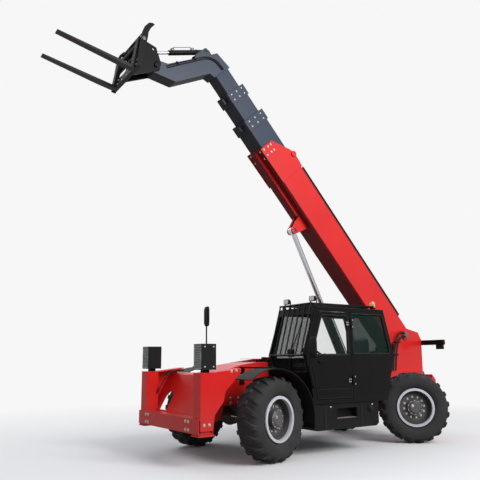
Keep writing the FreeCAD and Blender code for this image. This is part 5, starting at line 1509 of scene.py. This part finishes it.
@dataclass
class Interior:
    """Screen, joystick, armrest, pedals, roof lining, wheel grip and seat belt of the cab."""

    wheel_centre: Point = (0.4765, 0.720, 1.47475)
    wheel_lean: float = 35.0
    wheel_radius: float = 0.185
    lining: Sides = (-0.56, 0.65, 0.39, 1.05)

    @staticmethod
    def screen() -> tuple[Patch, ...]:
        """Instrument screen on a stalk at the right of the console."""
        stalk = curve([(0.70, 0.50, 1.30), (0.72, 0.46, 1.40), (0.71, 0.43, 1.47)], 12)
        return pipe(stalk, 0.010, 8), block((0.690, 0.340, 1.450), (0.720, 0.510, 1.570), 0.012, 4)

    @staticmethod
    def armrest() -> tuple[Patch, ...]:
        """Padded armrest with its bracket at the right of the seat."""
        return (block((-0.36, 0.425, 1.285), (0.04, 0.500, 1.330), 0.020, 4),
                block((-0.40, 0.450, 1.150), (-0.33, 0.475, 1.300), 0.006))

    @staticmethod
    def joystick() -> Patch:
        """Grip on a folded boot, turned about the upright axis."""
        profile = [(0.045, 0.0), (0.046, 0.010), (0.034, 0.018), (0.038, 0.026), (0.026, 0.034),
                   (0.029, 0.042), (0.012, 0.052), (0.012, 0.085), (0.021, 0.100), (0.024, 0.130),
                   (0.022, 0.160), (0.012, 0.172)]
        return turned(profile, 24, "z").copied((0.000, 0.462, 1.330))

    @staticmethod
    def pedal(y: float) -> Patch:
        """Pedal in front of the console's foot."""
        return strip(np.array([(0.62, y, 0.86), (0.58, y, 0.93), (0.56, y, 1.00)]), (0, 1, 0), 0.085, 0.012)

    def wheel_grip(self) -> Patch:
        """Grip over the rim of the steering wheel: a ring about the column's axis."""
        lean = math.radians(self.wheel_lean)
        angles = ring(64)[:, None]
        along = np.cos(angles) * (math.cos(lean), 0, math.sin(lean)) + np.sin(angles) * (0, 1, 0)
        return pipe(np.array(self.wheel_centre) + self.wheel_radius * along, 0.0165, 12, True)

    @staticmethod
    def belt() -> Patch:
        """Seat belt strap from its reel over the backrest's edge to the buckle."""
        path = [(-0.46, 0.985, 1.06), (-0.50, 0.972, 1.25), (-0.53, 0.955, 1.50), (-0.555, 0.930, 1.66)]
        return strip(curve(path, 24), (1, 0, 0), 0.046, 0.003)

    def build(self) -> None:
        """Makes the pieces."""
        lining = strip(Cab.level_loop(self.lining, 2.166, 0.06), (0, 0, 1), 0.010, 0.060, True)
        face = block((0.684, 0.352, 1.462), (0.692, 0.498, 1.558), 0.003)
        MAKE.group(MACHINE, "chassis",
                   ("cab_screen", Finish.TRIM, *self.screen()),
                   ("cab_screen_face", Finish.DISPLAY, face),
                   ("armrest", Finish.TRIM, *self.armrest()),
                   ("joystick", Finish.TRIM, self.joystick()),
                   ("pedals", Finish.TRIM, *map(self.pedal, (0.52, 0.90))),
                   ("roof_lining", Finish.TRIM, lining),
                   ("wheel_grip", Finish.SEAL, self.wheel_grip()),
                   ("seat_belt", Finish.SEAT, self.belt()))


@dataclass
class Seat:
    """Padded seat: two cushions swelled by the cloth solver, with piping and sewn channels."""

    voxel: float = 0.006
    pressure: float = 4.0
    frames: int = 20
    limit: float = 0.012
    groove: float = 0.007
    base_low: Point = (-0.405, 0.505, 1.068)
    base_high: Point = (0.035, 0.935, 1.150)
    back_low: Point = (-0.505, 0.525, 1.110)
    back_high: Point = (-0.425, 0.915, 1.735)
    lean: float = 0.185

    def swelled(self, patch: Patch, name: str) -> Patch:
        """Runs the cloth solver on a closed shape, with no gravity, and holds each point near its start.

        Args:
            patch: The slack shape in the machine frame.
            name: Name of the working object.

        Returns:
            The swelled shape.
        """
        obj = MAKE.shown(name, MAKE.mesh(name, patch))
        self._remesh(obj)
        points = self._points(obj.data)
        cloth = obj.modifiers.new("cloth", "CLOTH")
        cloth.settings.use_pressure = True
        cloth.settings.uniform_pressure_force = self.pressure
        cloth.settings.effector_weights.gravity = 0.0
        for step in range(1, self.frames + 1):
            bpy.context.scene.frame_set(step)
        graph = bpy.context.evaluated_depsgraph_get()
        shift = self._points(obj.evaluated_get(graph).data) - points
        bpy.context.scene.frame_set(1)
        obj.modifiers.clear()
        length = np.linalg.norm(shift, axis=1, keepdims=True)
        points = points + shift * np.minimum(1.0, self.limit / np.maximum(length, 1e-9))
        faces = [list(face.vertices) for face in obj.data.polygons]
        bpy.data.objects.remove(obj)
        return Patch(points, faces)

    @staticmethod
    def _points(mesh: bpy.types.Mesh) -> Array:
        """The vertices of a mesh as an array."""
        flat = np.empty(len(mesh.vertices) * 3)
        mesh.vertices.foreach_get("co", flat)
        return flat.reshape(-1, 3)

    def _remesh(self, obj: bpy.types.Object) -> None:
        """Gives the object's mesh small even faces."""
        modifier = obj.modifiers.new("step", "REMESH")
        modifier.mode = "VOXEL"
        modifier.voxel_size = self.voxel
        graph = bpy.context.evaluated_depsgraph_get()
        result = bpy.data.meshes.new_from_object(obj.evaluated_get(graph))
        obj.modifiers.clear()
        obj.data = result

    def sewn(self, patch: Patch, channels: Array, axis: int, face_axis: int, top: float) -> Patch:
        """Presses sewn channels into a face: each point sinks by a Gaussian of its distance to a channel.

        Args:
            patch: The swelled shape.
            channels: Places of the channels along an axis.
            axis: Axis across the channels.
            face_axis: Axis that points out of the face.
            top: Level over which a point belongs to the face.

        Returns:
            The pressed shape.
        """
        near = np.exp(-((patch.points[:, axis][:, None] - channels[None]) / self.groove) ** 2).sum(1)
        on_face = np.clip((patch.points[:, face_axis] - top) / 0.015, 0, 1)
        pressed = patch.points.copy()
        pressed[:, face_axis] -= self.groove * np.minimum(near, 1.0) * on_face
        return Patch(pressed, patch.faces)

    def leaned(self, patch: Patch) -> Patch:
        """Leans the backrest: X falls back in proportion to the height."""
        moved = patch.points.copy()
        moved[:, 0] -= (moved[:, 2] - self.back_low[2]) * self.lean
        return Patch(moved, patch.faces)

    @staticmethod
    def piping(low: Point, high: Point, level: float, flat_axis: int) -> Patch:
        """Cord sewn round a cushion, square to one axis at a level of it.

        Args:
            low: One corner of the cushion.
            high: The opposite corner.
            level: Place of the cord along the axis.
            flat_axis: Number of the axis.

        Returns:
            The patch.
        """
        ends = (np.array(low) - 0.006, np.array(high) + 0.006)
        first, second = [axis for axis in range(3) if axis != flat_axis]
        corners = np.full((4, 3), level)
        corners[:, first] = [ends[i][first] for i in (0, 1, 1, 0)]
        corners[:, second] = [ends[i][second] for i in (0, 0, 1, 1)]
        return pipe(rounded_path(corners, 0.06, 9), 0.005, 8, True)

    def build(self) -> None:
        """Makes the cushions and their piping."""
        base = self.swelled(block(self.base_low, self.base_high, 0.030, 5), "base_slack")
        base = self.sewn(base, np.array([0.62, 0.72, 0.82]), 1, 2, self.base_high[2] - 0.012)
        back = self.swelled(block(self.back_low, self.back_high, 0.034, 5), "back_slack")
        back = self.leaned(self.sewn(back, np.array([1.27, 1.40, 1.53]), 2, 0, self.back_high[0] - 0.012))
        for name, patch in (("seat_base_cushion", base), ("seat_back_cushion", back)):
            piece = MAKE.piece(name, [patch.at(MACHINE)], Finish.SEAT, "chassis", replaces=("seat_cushions",))
            smooth = piece.modifiers.new("smooth", "SUBSURF")
            smooth.levels = smooth.render_levels = 1
        seams = [self.piping(self.base_low, self.base_high, 1.110, 2),
                 self.leaned(self.piping(self.back_low, self.back_high, -0.465, 0))]
        MAKE.piece("seat_piping", [seam.at(MACHINE) for seam in seams], Finish.TRIM, "chassis", "seat_fabric")


# Boom

@dataclass
class Boom:
    """Fittings of the boom, given along it (s), across (y) and square to it (n)."""

    top: float = 0.215
    half: float = 0.200
    low: float = -0.385
    front: float = 4.620
    tray: Pair = (0.310, 3.850)
    tray_floor: float = 0.2275
    pipe_y: tuple[float, ...] = (-0.105, -0.063, -0.021, 0.021, 0.063, 0.105)
    pipe_radius: float = 0.012
    clamp_pitch: float = 0.590
    collars: tuple[tuple[str, float, float, float], ...] = (
        ("boom_second", 5.170, 0.173, 0.261), ("boom_third", 5.720, 0.146, 0.222))
    middle: float = -0.085

    def tray_pipe(self, y: float) -> Patch:
        """Pipe that lies in the tray and dips into the boom at its front."""
        (start, stop), n = self.tray, self.tray_floor + self.pipe_radius
        route = [(start, y, n), (start + 0.6, y, n), (stop - 0.5, y, n), (stop - 0.10, y, n),
                 (stop, y, n + 0.003)]
        return pipe(curve(route, 30), self.pipe_radius, 8)

    def clamps(self) -> Patch:
        """Clamp bars over the pipes, each with its bolts."""
        start, stop = self.tray
        places = [(start + 0.3 + i * self.clamp_pitch, 0.0, self.tray_floor)
                  for i in range(int((stop - start) / self.clamp_pitch))]
        bar = block((-0.022, -0.128, 0.020), (0.022, 0.128, 0.030), 0.003)
        heads = bolts([(0.0, y, 0.030) for y in (-0.084, 0.0, 0.084)], "z", 1, 0.013, 0.007)
        return joined(bar, heads).copied(*places)

    def pad_bolts(self, side: int) -> Patch:
        """Bolts of the wear pads on one side of the outer section's mouth and under it."""
        y = side * (self.half + 0.012)
        beside = [(self.front - s, y, n) for s in (0.045, 0.16) for n in (-0.34, -0.22, -0.14)]
        under = [(self.front - s, side * 0.14, self.low) for s in (0.05, 0.19)]
        return joined(bolts(beside, "y", side, 0.022, 0.010), bolts(under, "z", -1, 0.022, 0.010))

    def seam(self, side: int) -> Patch:
        """Weld seams along the long edges of the outer section and down its front plate.

        Args:
            side: 1 for the left, -1 for the right.

        Returns:
            The patch.
        """
        y, plate_y, plate = side * self.half, side * (self.half + 0.006), self.front - 0.72
        edges = [strip(np.linspace((-0.10, y, n), (self.front - 0.73, y, n), 80), (0, 1, 0), 0.003, 0.007)
                 for n in (self.low + 0.030, self.top - 0.030)]
        front = np.linspace((plate, plate_y, self.low + 0.004), (plate, plate_y, self.top - 0.004), 30)
        return joined(*edges, pipe(front, 0.006, 8))

    def knobs(self) -> Patch:
        """Lifting eyes on top near the front: stubs with round caps."""
        profile = [(0.022, -0.02), (0.022, 0.055), (0.034, 0.062), (0.036, 0.085), (0.026, 0.094)]
        return turned(profile, 20, "z").copied(*[(self.front - 0.47, side * 0.150, self.top - 0.012)
                                                 for side in SIDES])

    def collar_bolts(self, side: int, front: float, half: float, rise: float) -> Patch:
        """Pad bolts on one side of a section's collar.

        Args:
            side: 1 or -1.
            front: Front of the collar along the boom.
            half: Half of the section's width.
            rise: Half of its height.

        Returns:
            The patch.
        """
        spots = [(front - s, side * (half + 0.020), self.middle + n) for s in (0.05, 0.15)
                 for n in (-rise * 0.62, 0.0, rise * 0.62)]
        return bolts(spots, "y", side, 0.018, 0.008)

    def build(self) -> None:
        """Makes the fittings."""
        MAKE.group(BOOM, "boom",
                   ("tray_pipes", Finish.HOSE, *map(self.tray_pipe, self.pipe_y)),
                   ("tray_clamps", Finish.BOLT, self.clamps()),
                   ("boom_pad_bolts", Finish.BOLT, *map(self.pad_bolts, SIDES)),
                   ("boom_seams", Finish.RED, *map(self.seam, SIDES)),
                   ("boom_knobs", Finish.BLACK, self.knobs()))
        for body, *sizes in self.collars:
            collar = [self.collar_bolts(side, *sizes) for side in SIDES]
            MAKE.group(BOOM, body, (f"{body}_bolts", Finish.BOLT, *collar))


@dataclass
class Head:
    """Pipes, bolts and seams of the dropped head."""

    half: float = 0.120
    hinge: Pair = (6.735, -1.190)
    clamps: Outline = ((6.22, -0.052), (6.505, -0.44), (6.60, -0.80))

    def pipes(self, side: int) -> Patch:
        """Pipes down one side of the head from the boom to the hinge.

        Args:
            side: 1 for the left, -1 for the right.

        Returns:
            The patch.
        """
        y, made = side * (self.half + 0.014), []
        for step in (0.0, 0.032):
            route = [(6.10, y, -0.02 - step), (6.30, y, -0.06 - step), (6.44 - step, y, -0.22),
                     (6.52 - step, y, -0.52), (6.60 - step, y, -0.85), (6.64 - step, y, -1.02)]
            made.append(pipe(curve(route, 34), 0.0085, 8))
        return joined(*made)

    def pipe_clamps(self, side: int) -> Patch:
        """Clamps over the pipes of one side."""
        inner, outer = side * (self.half - 0.002), side * (self.half + 0.027)
        return joined(*(block((s - 0.040, inner, n - 0.012), (s + 0.020, outer, n + 0.012), 0.004)
                        for s, n in self.clamps))

    def keepers(self, side: int) -> Patch:
        """Bolts round the hinge boss."""
        s, n = self.hinge
        return bolts(circle((s, side * self.half, n), 0.076, 6, 0.3), "y", side, 0.014, 0.004)

    def seam(self) -> Patch:
        """Weld bead where the head's plates meet the inner section."""
        corners = [(6.074, -self.half, -0.26), (6.074, self.half, -0.26), (6.074, self.half, 0.06),
                   (6.074, -self.half, 0.06)]
        return pipe(rounded_path(corners, 0.015), 0.006, 8, True)

    def build(self) -> None:
        """Makes the pieces."""
        MAKE.group(BOOM, "boom_tip",
                   ("head_pipes", Finish.HOSE, *map(self.pipes, SIDES)),
                   ("head_clamps", Finish.TRIM, *map(self.pipe_clamps, SIDES)),
                   ("head_bolts", Finish.BOLT, *map(self.keepers, SIDES)),
                   ("head_seams", Finish.HEAD_GREY, self.seam()))


# Cylinders

@dataclass
class Cylinder:
    """Fittings of a cylinder along its own X: gland, port blocks and the pipe between them."""

    name: str
    hinge: str
    slide: str
    radius: float
    length: float
    rod: float
    pipe: float

    def place(self) -> Place:
        """The cylinder's frame, from its joints."""
        x, _, z = JOINTS[self.slide]["axis"]
        return Place(tuple(JOINTS[self.hinge]["pos_m"]), 0.0, math.degrees(math.atan2(z, x)))

    def gland(self) -> Patch:
        """Gland nut: a stepped collar round the rod."""
        r, end, rod = self.radius, self.length, self.rod
        section = [(rod + 0.0015, end - 0.002), (r * 0.96, end - 0.002), (r * 0.96, end + 0.014),
                   (r * 0.84, end + 0.020), (rod + 0.016, end + 0.022), (rod + 0.010, end + 0.036),
                   (rod + 0.0015, end + 0.037)]
        return turned(section, 40, "x", True)

    def band(self) -> Patch:
        """Weld band round the barrel near its foot."""
        r = self.radius
        section = [(r - 0.001, 0.16), (r + 0.005, 0.165), (r + 0.005, 0.185), (r - 0.001, 0.19)]
        return turned(section, 36, "x", True)

    def ports(self) -> list[Patch]:
        """Port blocks at both ends of the barrel and the pipe that joins them, on the upper side."""
        r, first, last = self.radius, 0.24, self.length - 0.06
        rise = [(first, 0.0, 0.030), (first + 0.04, 0.0, 0.052), (first + 0.12, 0.0, 0.050),
                (last - 0.12, 0.0, 0.050), (last - 0.04, 0.0, 0.052), (last, 0.0, 0.030)]
        route = np.array(rise) + (0, 0, r)
        blocks = [block((x - 0.028, -0.022, r - 0.010), (x + 0.028, 0.022, r + 0.034), 0.005)
                  for x in (first, last)]
        return [*blocks, pipe(rounded_path(route, 0.02, 6, False), self.pipe, 8)]

    def build(self) -> None:
        """Makes the fittings."""
        place = self.place()
        MAKE.group(place, self.name, (f"{self.name}_gland", Finish.BLACK, self.gland(), self.band()))
        pipes = [patch.at(place) for patch in self.ports()]
        MAKE.piece(f"{self.name}_pipe", pipes, Finish.PIN, self.name, "chrome")


# Carriage

@dataclass
class Carriage:
    """Fittings of the fork carriage, given forwards (x), across (y) and up (z) from its hinge."""

    face: float = 0.410
    half: float = 0.520
    low: float = -0.430
    shaft: Pair = (0.405, 0.075)
    fork_y: float = 0.380
    pin_y: float = 0.170
    tip: float = 1.606

    def shaft_end(self, side: int) -> Patch:
        """Round plate with a bolt on one end of the fork shaft."""
        x, z = self.shaft
        disc = turned([(0.030, 0.0), (0.030, 0.008), (0.026, 0.010)], 24)
        plate = joined(disc, hexagon_bolt(0.020, 0.010, "y").copied((0, 0.010, 0)))
        return (plate if side > 0 else plate.flipped(1)).copied((x, side * (self.half - 0.002), z))

    def locks(self) -> Patch:
        """Spring locks that hold each fork along its shaft."""
        x, z = self.shaft
        stem = turned([(0.012, 0.0), (0.012, 0.045), (0.019, 0.047), (0.019, 0.060), (0.012, 0.066)], 16, "z")
        return stem.copied(*[(x + 0.006, side * self.fork_y, z + 0.050) for side in SIDES])

    def pin_plate(self, side: int) -> Patch:
        """Keeper plate over one end of the hinge pin, held by two bolts."""
        y = side * self.pin_y
        return joined(block((-0.030, y - side * 0.001, -0.050), (0.030, y + side * 0.007, 0.050), 0.003),
                      bolts([(0.0, y + side * 0.007, z) for z in (-0.034, 0.034)], "y", side, 0.016, 0.008))

    def bar_bolts(self) -> Patch:
        """Bolts along the lower cross bar."""
        spots = [(self.face + 0.0037, y, self.low + z) for y in (-0.46, -0.28, -0.09, 0.09, 0.28, 0.46)
                 for z in (0.06, 0.14)]
        return bolts(spots, "x", 1, 0.022, 0.010)

    def wear_strip(self, side: int) -> Patch:
        """Bright wear strip under the tip of a fork."""
        x, y, z = self.tip, side * self.fork_y, self.low
        return block((x - 0.10, y - 0.035, z + 0.032), (x, y + 0.035, z + 0.0455), 0.002)

    def build(self) -> None:
        """Makes the fittings."""
        MAKE.group(CARRIAGE, "carriage",
                   ("shaft_ends", Finish.PIN, *map(self.shaft_end, SIDES)),
                   ("fork_locks", Finish.BOLT, self.locks()),
                   ("hinge_keepers", Finish.BLACK, *map(self.pin_plate, SIDES)),
                   ("carriage_bolts", Finish.BOLT, self.bar_bolts()),
                   ("fork_wear_strips", Finish.PIN, *map(self.wear_strip, SIDES)))


# Lamps, mirrors and pipes

@dataclass
class Mirrors:
    """Mirrors: one on a stalk on the far front fender, one beside the cab's front pillar."""

    far: Point = (1.400, -1.100, 2.180)
    far_half: Pair = (0.075, 0.178)
    axle: Pair = (1.610, 0.585)
    fender: float = 0.7062
    near: Point = (0.972, 1.300, 1.580)
    near_half: Pair = (0.070, 0.158)
    cab_side: float = 1.1706

    def foot(self) -> tuple[Patch, ...]:
        """Clamp plate bent along the fender, with the socket of the stalk and its bolts."""
        angle = np.linspace(-0.365, -0.235, 9)
        (x, y, _), (axle_x, axle_z) = self.far, self.axle
        path = np.stack([axle_x + self.fender * np.sin(angle), np.full(9, y),
                         axle_z + self.fender * np.cos(angle)], -1)
        profile = [(0.026, 1.252), (0.026, 1.300), (0.019, 1.312), (0.019, 1.345), (0.0145, 1.350)]
        spots = [(x + dx, y + dy, 1.2585 + 0.31 * dx) for dx in (-0.034, 0.034) for dy in (-0.026, 0.026)]
        return (strip(path, (0, 1, 0), 0.078, 0.007), turned(profile, 24, "z").copied((x, y, 0.0)),
                bolts(spots, "z", 1, 0.013, 0.010))

    def stalk(self) -> Patch:
        """Stalk of the far mirror."""
        x, y, _ = self.far
        return pipe(np.linspace((x, y, 1.300), (x, y, 2.300), 12), 0.013, 14)

    def arm(self) -> tuple[Patch, ...]:
        """Arm of the near mirror with its base on the cab."""
        x, y, z = self.near
        start = (x + 0.022, self.cab_side, 1.436)
        path = [start, (x + 0.022, y, 1.436), (x + 0.022, y, z)]
        base = turned([(0.024, 0.0), (0.024, 0.008), (0.014, 0.016)], 20)
        return pipe(rounded_path(path, 0.03, 7, False), 0.010, 12), base.copied(start)

    def glasses(self) -> tuple[Patch, ...]:
        """Mirror faces, which look back."""
        (far_x, far_y, far_z), (x, y, z) = self.far, self.near
        return (pod((far_x - 0.0185, far_y, far_z), (0.066, 0.168), -0.003, 6.0),
                pod((x + 0.001, y, z), (0.061, 0.148), -0.003, 6.0))

    def build(self) -> None:
        """Makes the pieces."""
        x, y, z = self.far
        cases = pod((x - 0.019, y, z), self.far_half, 0.043), pod(self.near, self.near_half, 0.038)
        MAKE.group(MACHINE, "chassis",
                   ("mirror_cases", Finish.TRIM, *cases, self.stalk(), *self.foot(), *self.arm()),
                   ("mirror_faces", Finish.MIRROR, *self.glasses()), replaces=("mirrors",))


@dataclass
class RoofLamps:
    """Two work lamps on the cab's roof and the amber beacon behind them."""

    lamp_y: Pair = (0.400, 1.040)
    face_x: float = 0.760
    lamp_z: float = 2.3375
    half: Pair = (0.065, 0.0425)
    bracket_x: float = 0.722
    roof: float = 2.2103
    beacon: Pair = (-0.610, 1.030)

    def bracket(self, y: float, side: int) -> Patch:
        """Bent bracket at one side of a lamp."""
        low, outer = self.roof + 0.003, y + side * 0.069
        path = [(0.715, y + side * 0.030, low), (0.715, outer, low), (self.bracket_x, outer, self.lamp_z)]
        return strip(rounded_path(path, 0.012, 6, False), (1, 0, 0), 0.024, 0.005)

    def case(self, y: float) -> Patch:
        """Case of one lamp, with the brackets, bolt and foot that carry it."""
        return joined(pod((self.face_x, y, self.lamp_z), self.half, -0.062),
                      *(self.bracket(y, side) for side in SIDES),
                      bolts([(self.bracket_x, y + 0.071, self.lamp_z)], "y", 1, 0.014, 0.006),
                      block((0.698, y - 0.034, self.roof), (0.732, y + 0.034, self.roof + 0.006), 0.002))

    def lens(self, y: float) -> Patch:
        """Glass of one lamp."""
        return pod((self.face_x - 0.004, y, self.lamp_z), (0.058, 0.036), 0.006)

    def drum(self, profile: Outline) -> Patch:
        """Part of the beacon, turned about its upright axis."""
        return turned(profile, 32, "z").copied((*self.beacon, self.roof))

    def build(self) -> None:
        """Makes the pieces."""
        base = ((0.054, 0.0), (0.054, 0.012), (0.047, 0.018), (0.047, 0.036), (0.050, 0.040), (0.044, 0.044))
        dome = ((0.043, 0.040), (0.044, 0.048), (0.0425, 0.100), (0.040, 0.125), (0.033, 0.138),
                (0.020, 0.146), (0.006, 0.149))
        MAKE.group(MACHINE, "chassis",
                   ("roof_lamp_cases", Finish.TRIM, *map(self.case, self.lamp_y)),
                   ("roof_lamp_lenses", Finish.LAMP, *map(self.lens, self.lamp_y)),
                   ("beacon_base", Finish.TRIM, self.drum(base)),
                   ("beacon_dome", Finish.AMBER, self.drum(dome)), replaces=("roof_lamps",))


@dataclass
class Tower:
    """Fittings of the boom tower and the counterweight: pin keepers, pipes, lifting eyes and bolts."""

    pivot: Pair = (-2.300, 1.850)
    pin_y: float = 0.295
    pipe_y: float = 0.302
    eye_x: float = -2.560
    eye_y: float = 0.420
    weight_top: float = 1.100

    def keeper(self, side: int) -> Patch:
        """Plate over one end of the boom pin with its bolts.

        Args:
            side: 1 for the left, -1 for the right.

        Returns:
            The patch.
        """
        x, z = self.pivot
        disc = turned([(0.062, 0.0), (0.062, 0.008), (0.056, 0.011), (0.020, 0.011)], 36)
        plate = (disc if side > 0 else disc.flipped(1)).copied((x, side * self.pin_y, z))
        spots = circle((x, side * (self.pin_y + 0.010), z), 0.042, 4, math.pi / 4)
        return joined(plate, bolts(spots, "y", side, 0.018, 0.009))

    def pipe_up(self, step: float) -> Patch:
        """Pipe that leaves the deck, arches up beside the tower and ends at the boom's pin.

        Args:
            step: How far it stands from the first pipe.

        Returns:
            The patch.
        """
        y = self.pipe_y + step * 0.25
        route = [(-1.86 - step, y, 1.18), (-1.90 - step, y, 1.42), (-1.96 - step, y, 1.66),
                 (-2.05 - step, y, 1.84 - step), (-2.16 - step * 0.5, y, 1.905 - step * 1.2),
                 (-2.25, y, 1.88 - step * 1.1)]
        return pipe(curve(route, 36), 0.017, 12)

    @staticmethod
    def clamps() -> list[Patch]:
        """Clamps that hold the pipes to the tower."""
        return [block((x0, 0.2655, z), (x1, 0.330, z + 0.03), 0.006, 3)
                for x0, x1, z in ((-2.015, -1.885, 1.46), (-2.095, -1.955, 1.70))]

    def eye(self, side: int) -> Patch:
        """Lifting eye on the counterweight."""
        angles = np.linspace(0, math.pi, 16)
        loop = np.stack([self.eye_x + 0.038 * np.cos(angles), np.full(16, side * self.eye_y),
                         self.weight_top - 0.004 + 0.055 * np.sin(angles)], -1)
        return pipe(loop, 0.010, 10)

    @staticmethod
    def weight_bolts() -> Patch:
        """Large bolts that hold the counterweight, on its rear face."""
        spots = [(-2.800, side * y, 0.86) for side in SIDES for y in (0.24, 0.40)]
        return bolts(spots, "x", -1, 0.042, 0.020)

    def build(self) -> None:
        """Makes the fittings."""
        MAKE.group(MACHINE, "chassis",
                   ("boom_pin_keepers", Finish.PIN, *map(self.keeper, SIDES)),
                   ("tower_pipes", Finish.HOSE, *map(self.pipe_up, (0.0, 0.055))),
                   ("tower_clamps", Finish.TRIM, *self.clamps()),
                   ("weight_eyes", Finish.PIN, *map(self.eye, SIDES)),
                   ("weight_bolts", Finish.BOLT, self.weight_bolts()))


def main() -> None:
    """Builds the machine's pieces in order, then the studio."""
    logging.basicConfig(level=logging.INFO, format="%(message)s")
    wheels = [Wheel(end, side) for end in ("front", "rear") for side in ("left", "right")]
    cylinders = [Cylinder("lift_barrel", "lift_barrel_hinge", "lift_rod_slide", 0.085, 1.930, 0.045, 0.011),
                 Cylinder("tilt_barrel", "tilt_barrel_hinge", "tilt_rod_slide", 0.044, 0.700, 0.028, 0.006)]
    for part in (*wheels, Coats(), Nose(), Chassis(), Hood(), EngineTrim(), Cab(), Interior(), Seat(),
                 Mirrors(), RoofLamps(), Tower(), Boom(), Head(), *cylinders, Carriage(), Studio()):
        part.build()


if __name__ == "__main__":
    main()
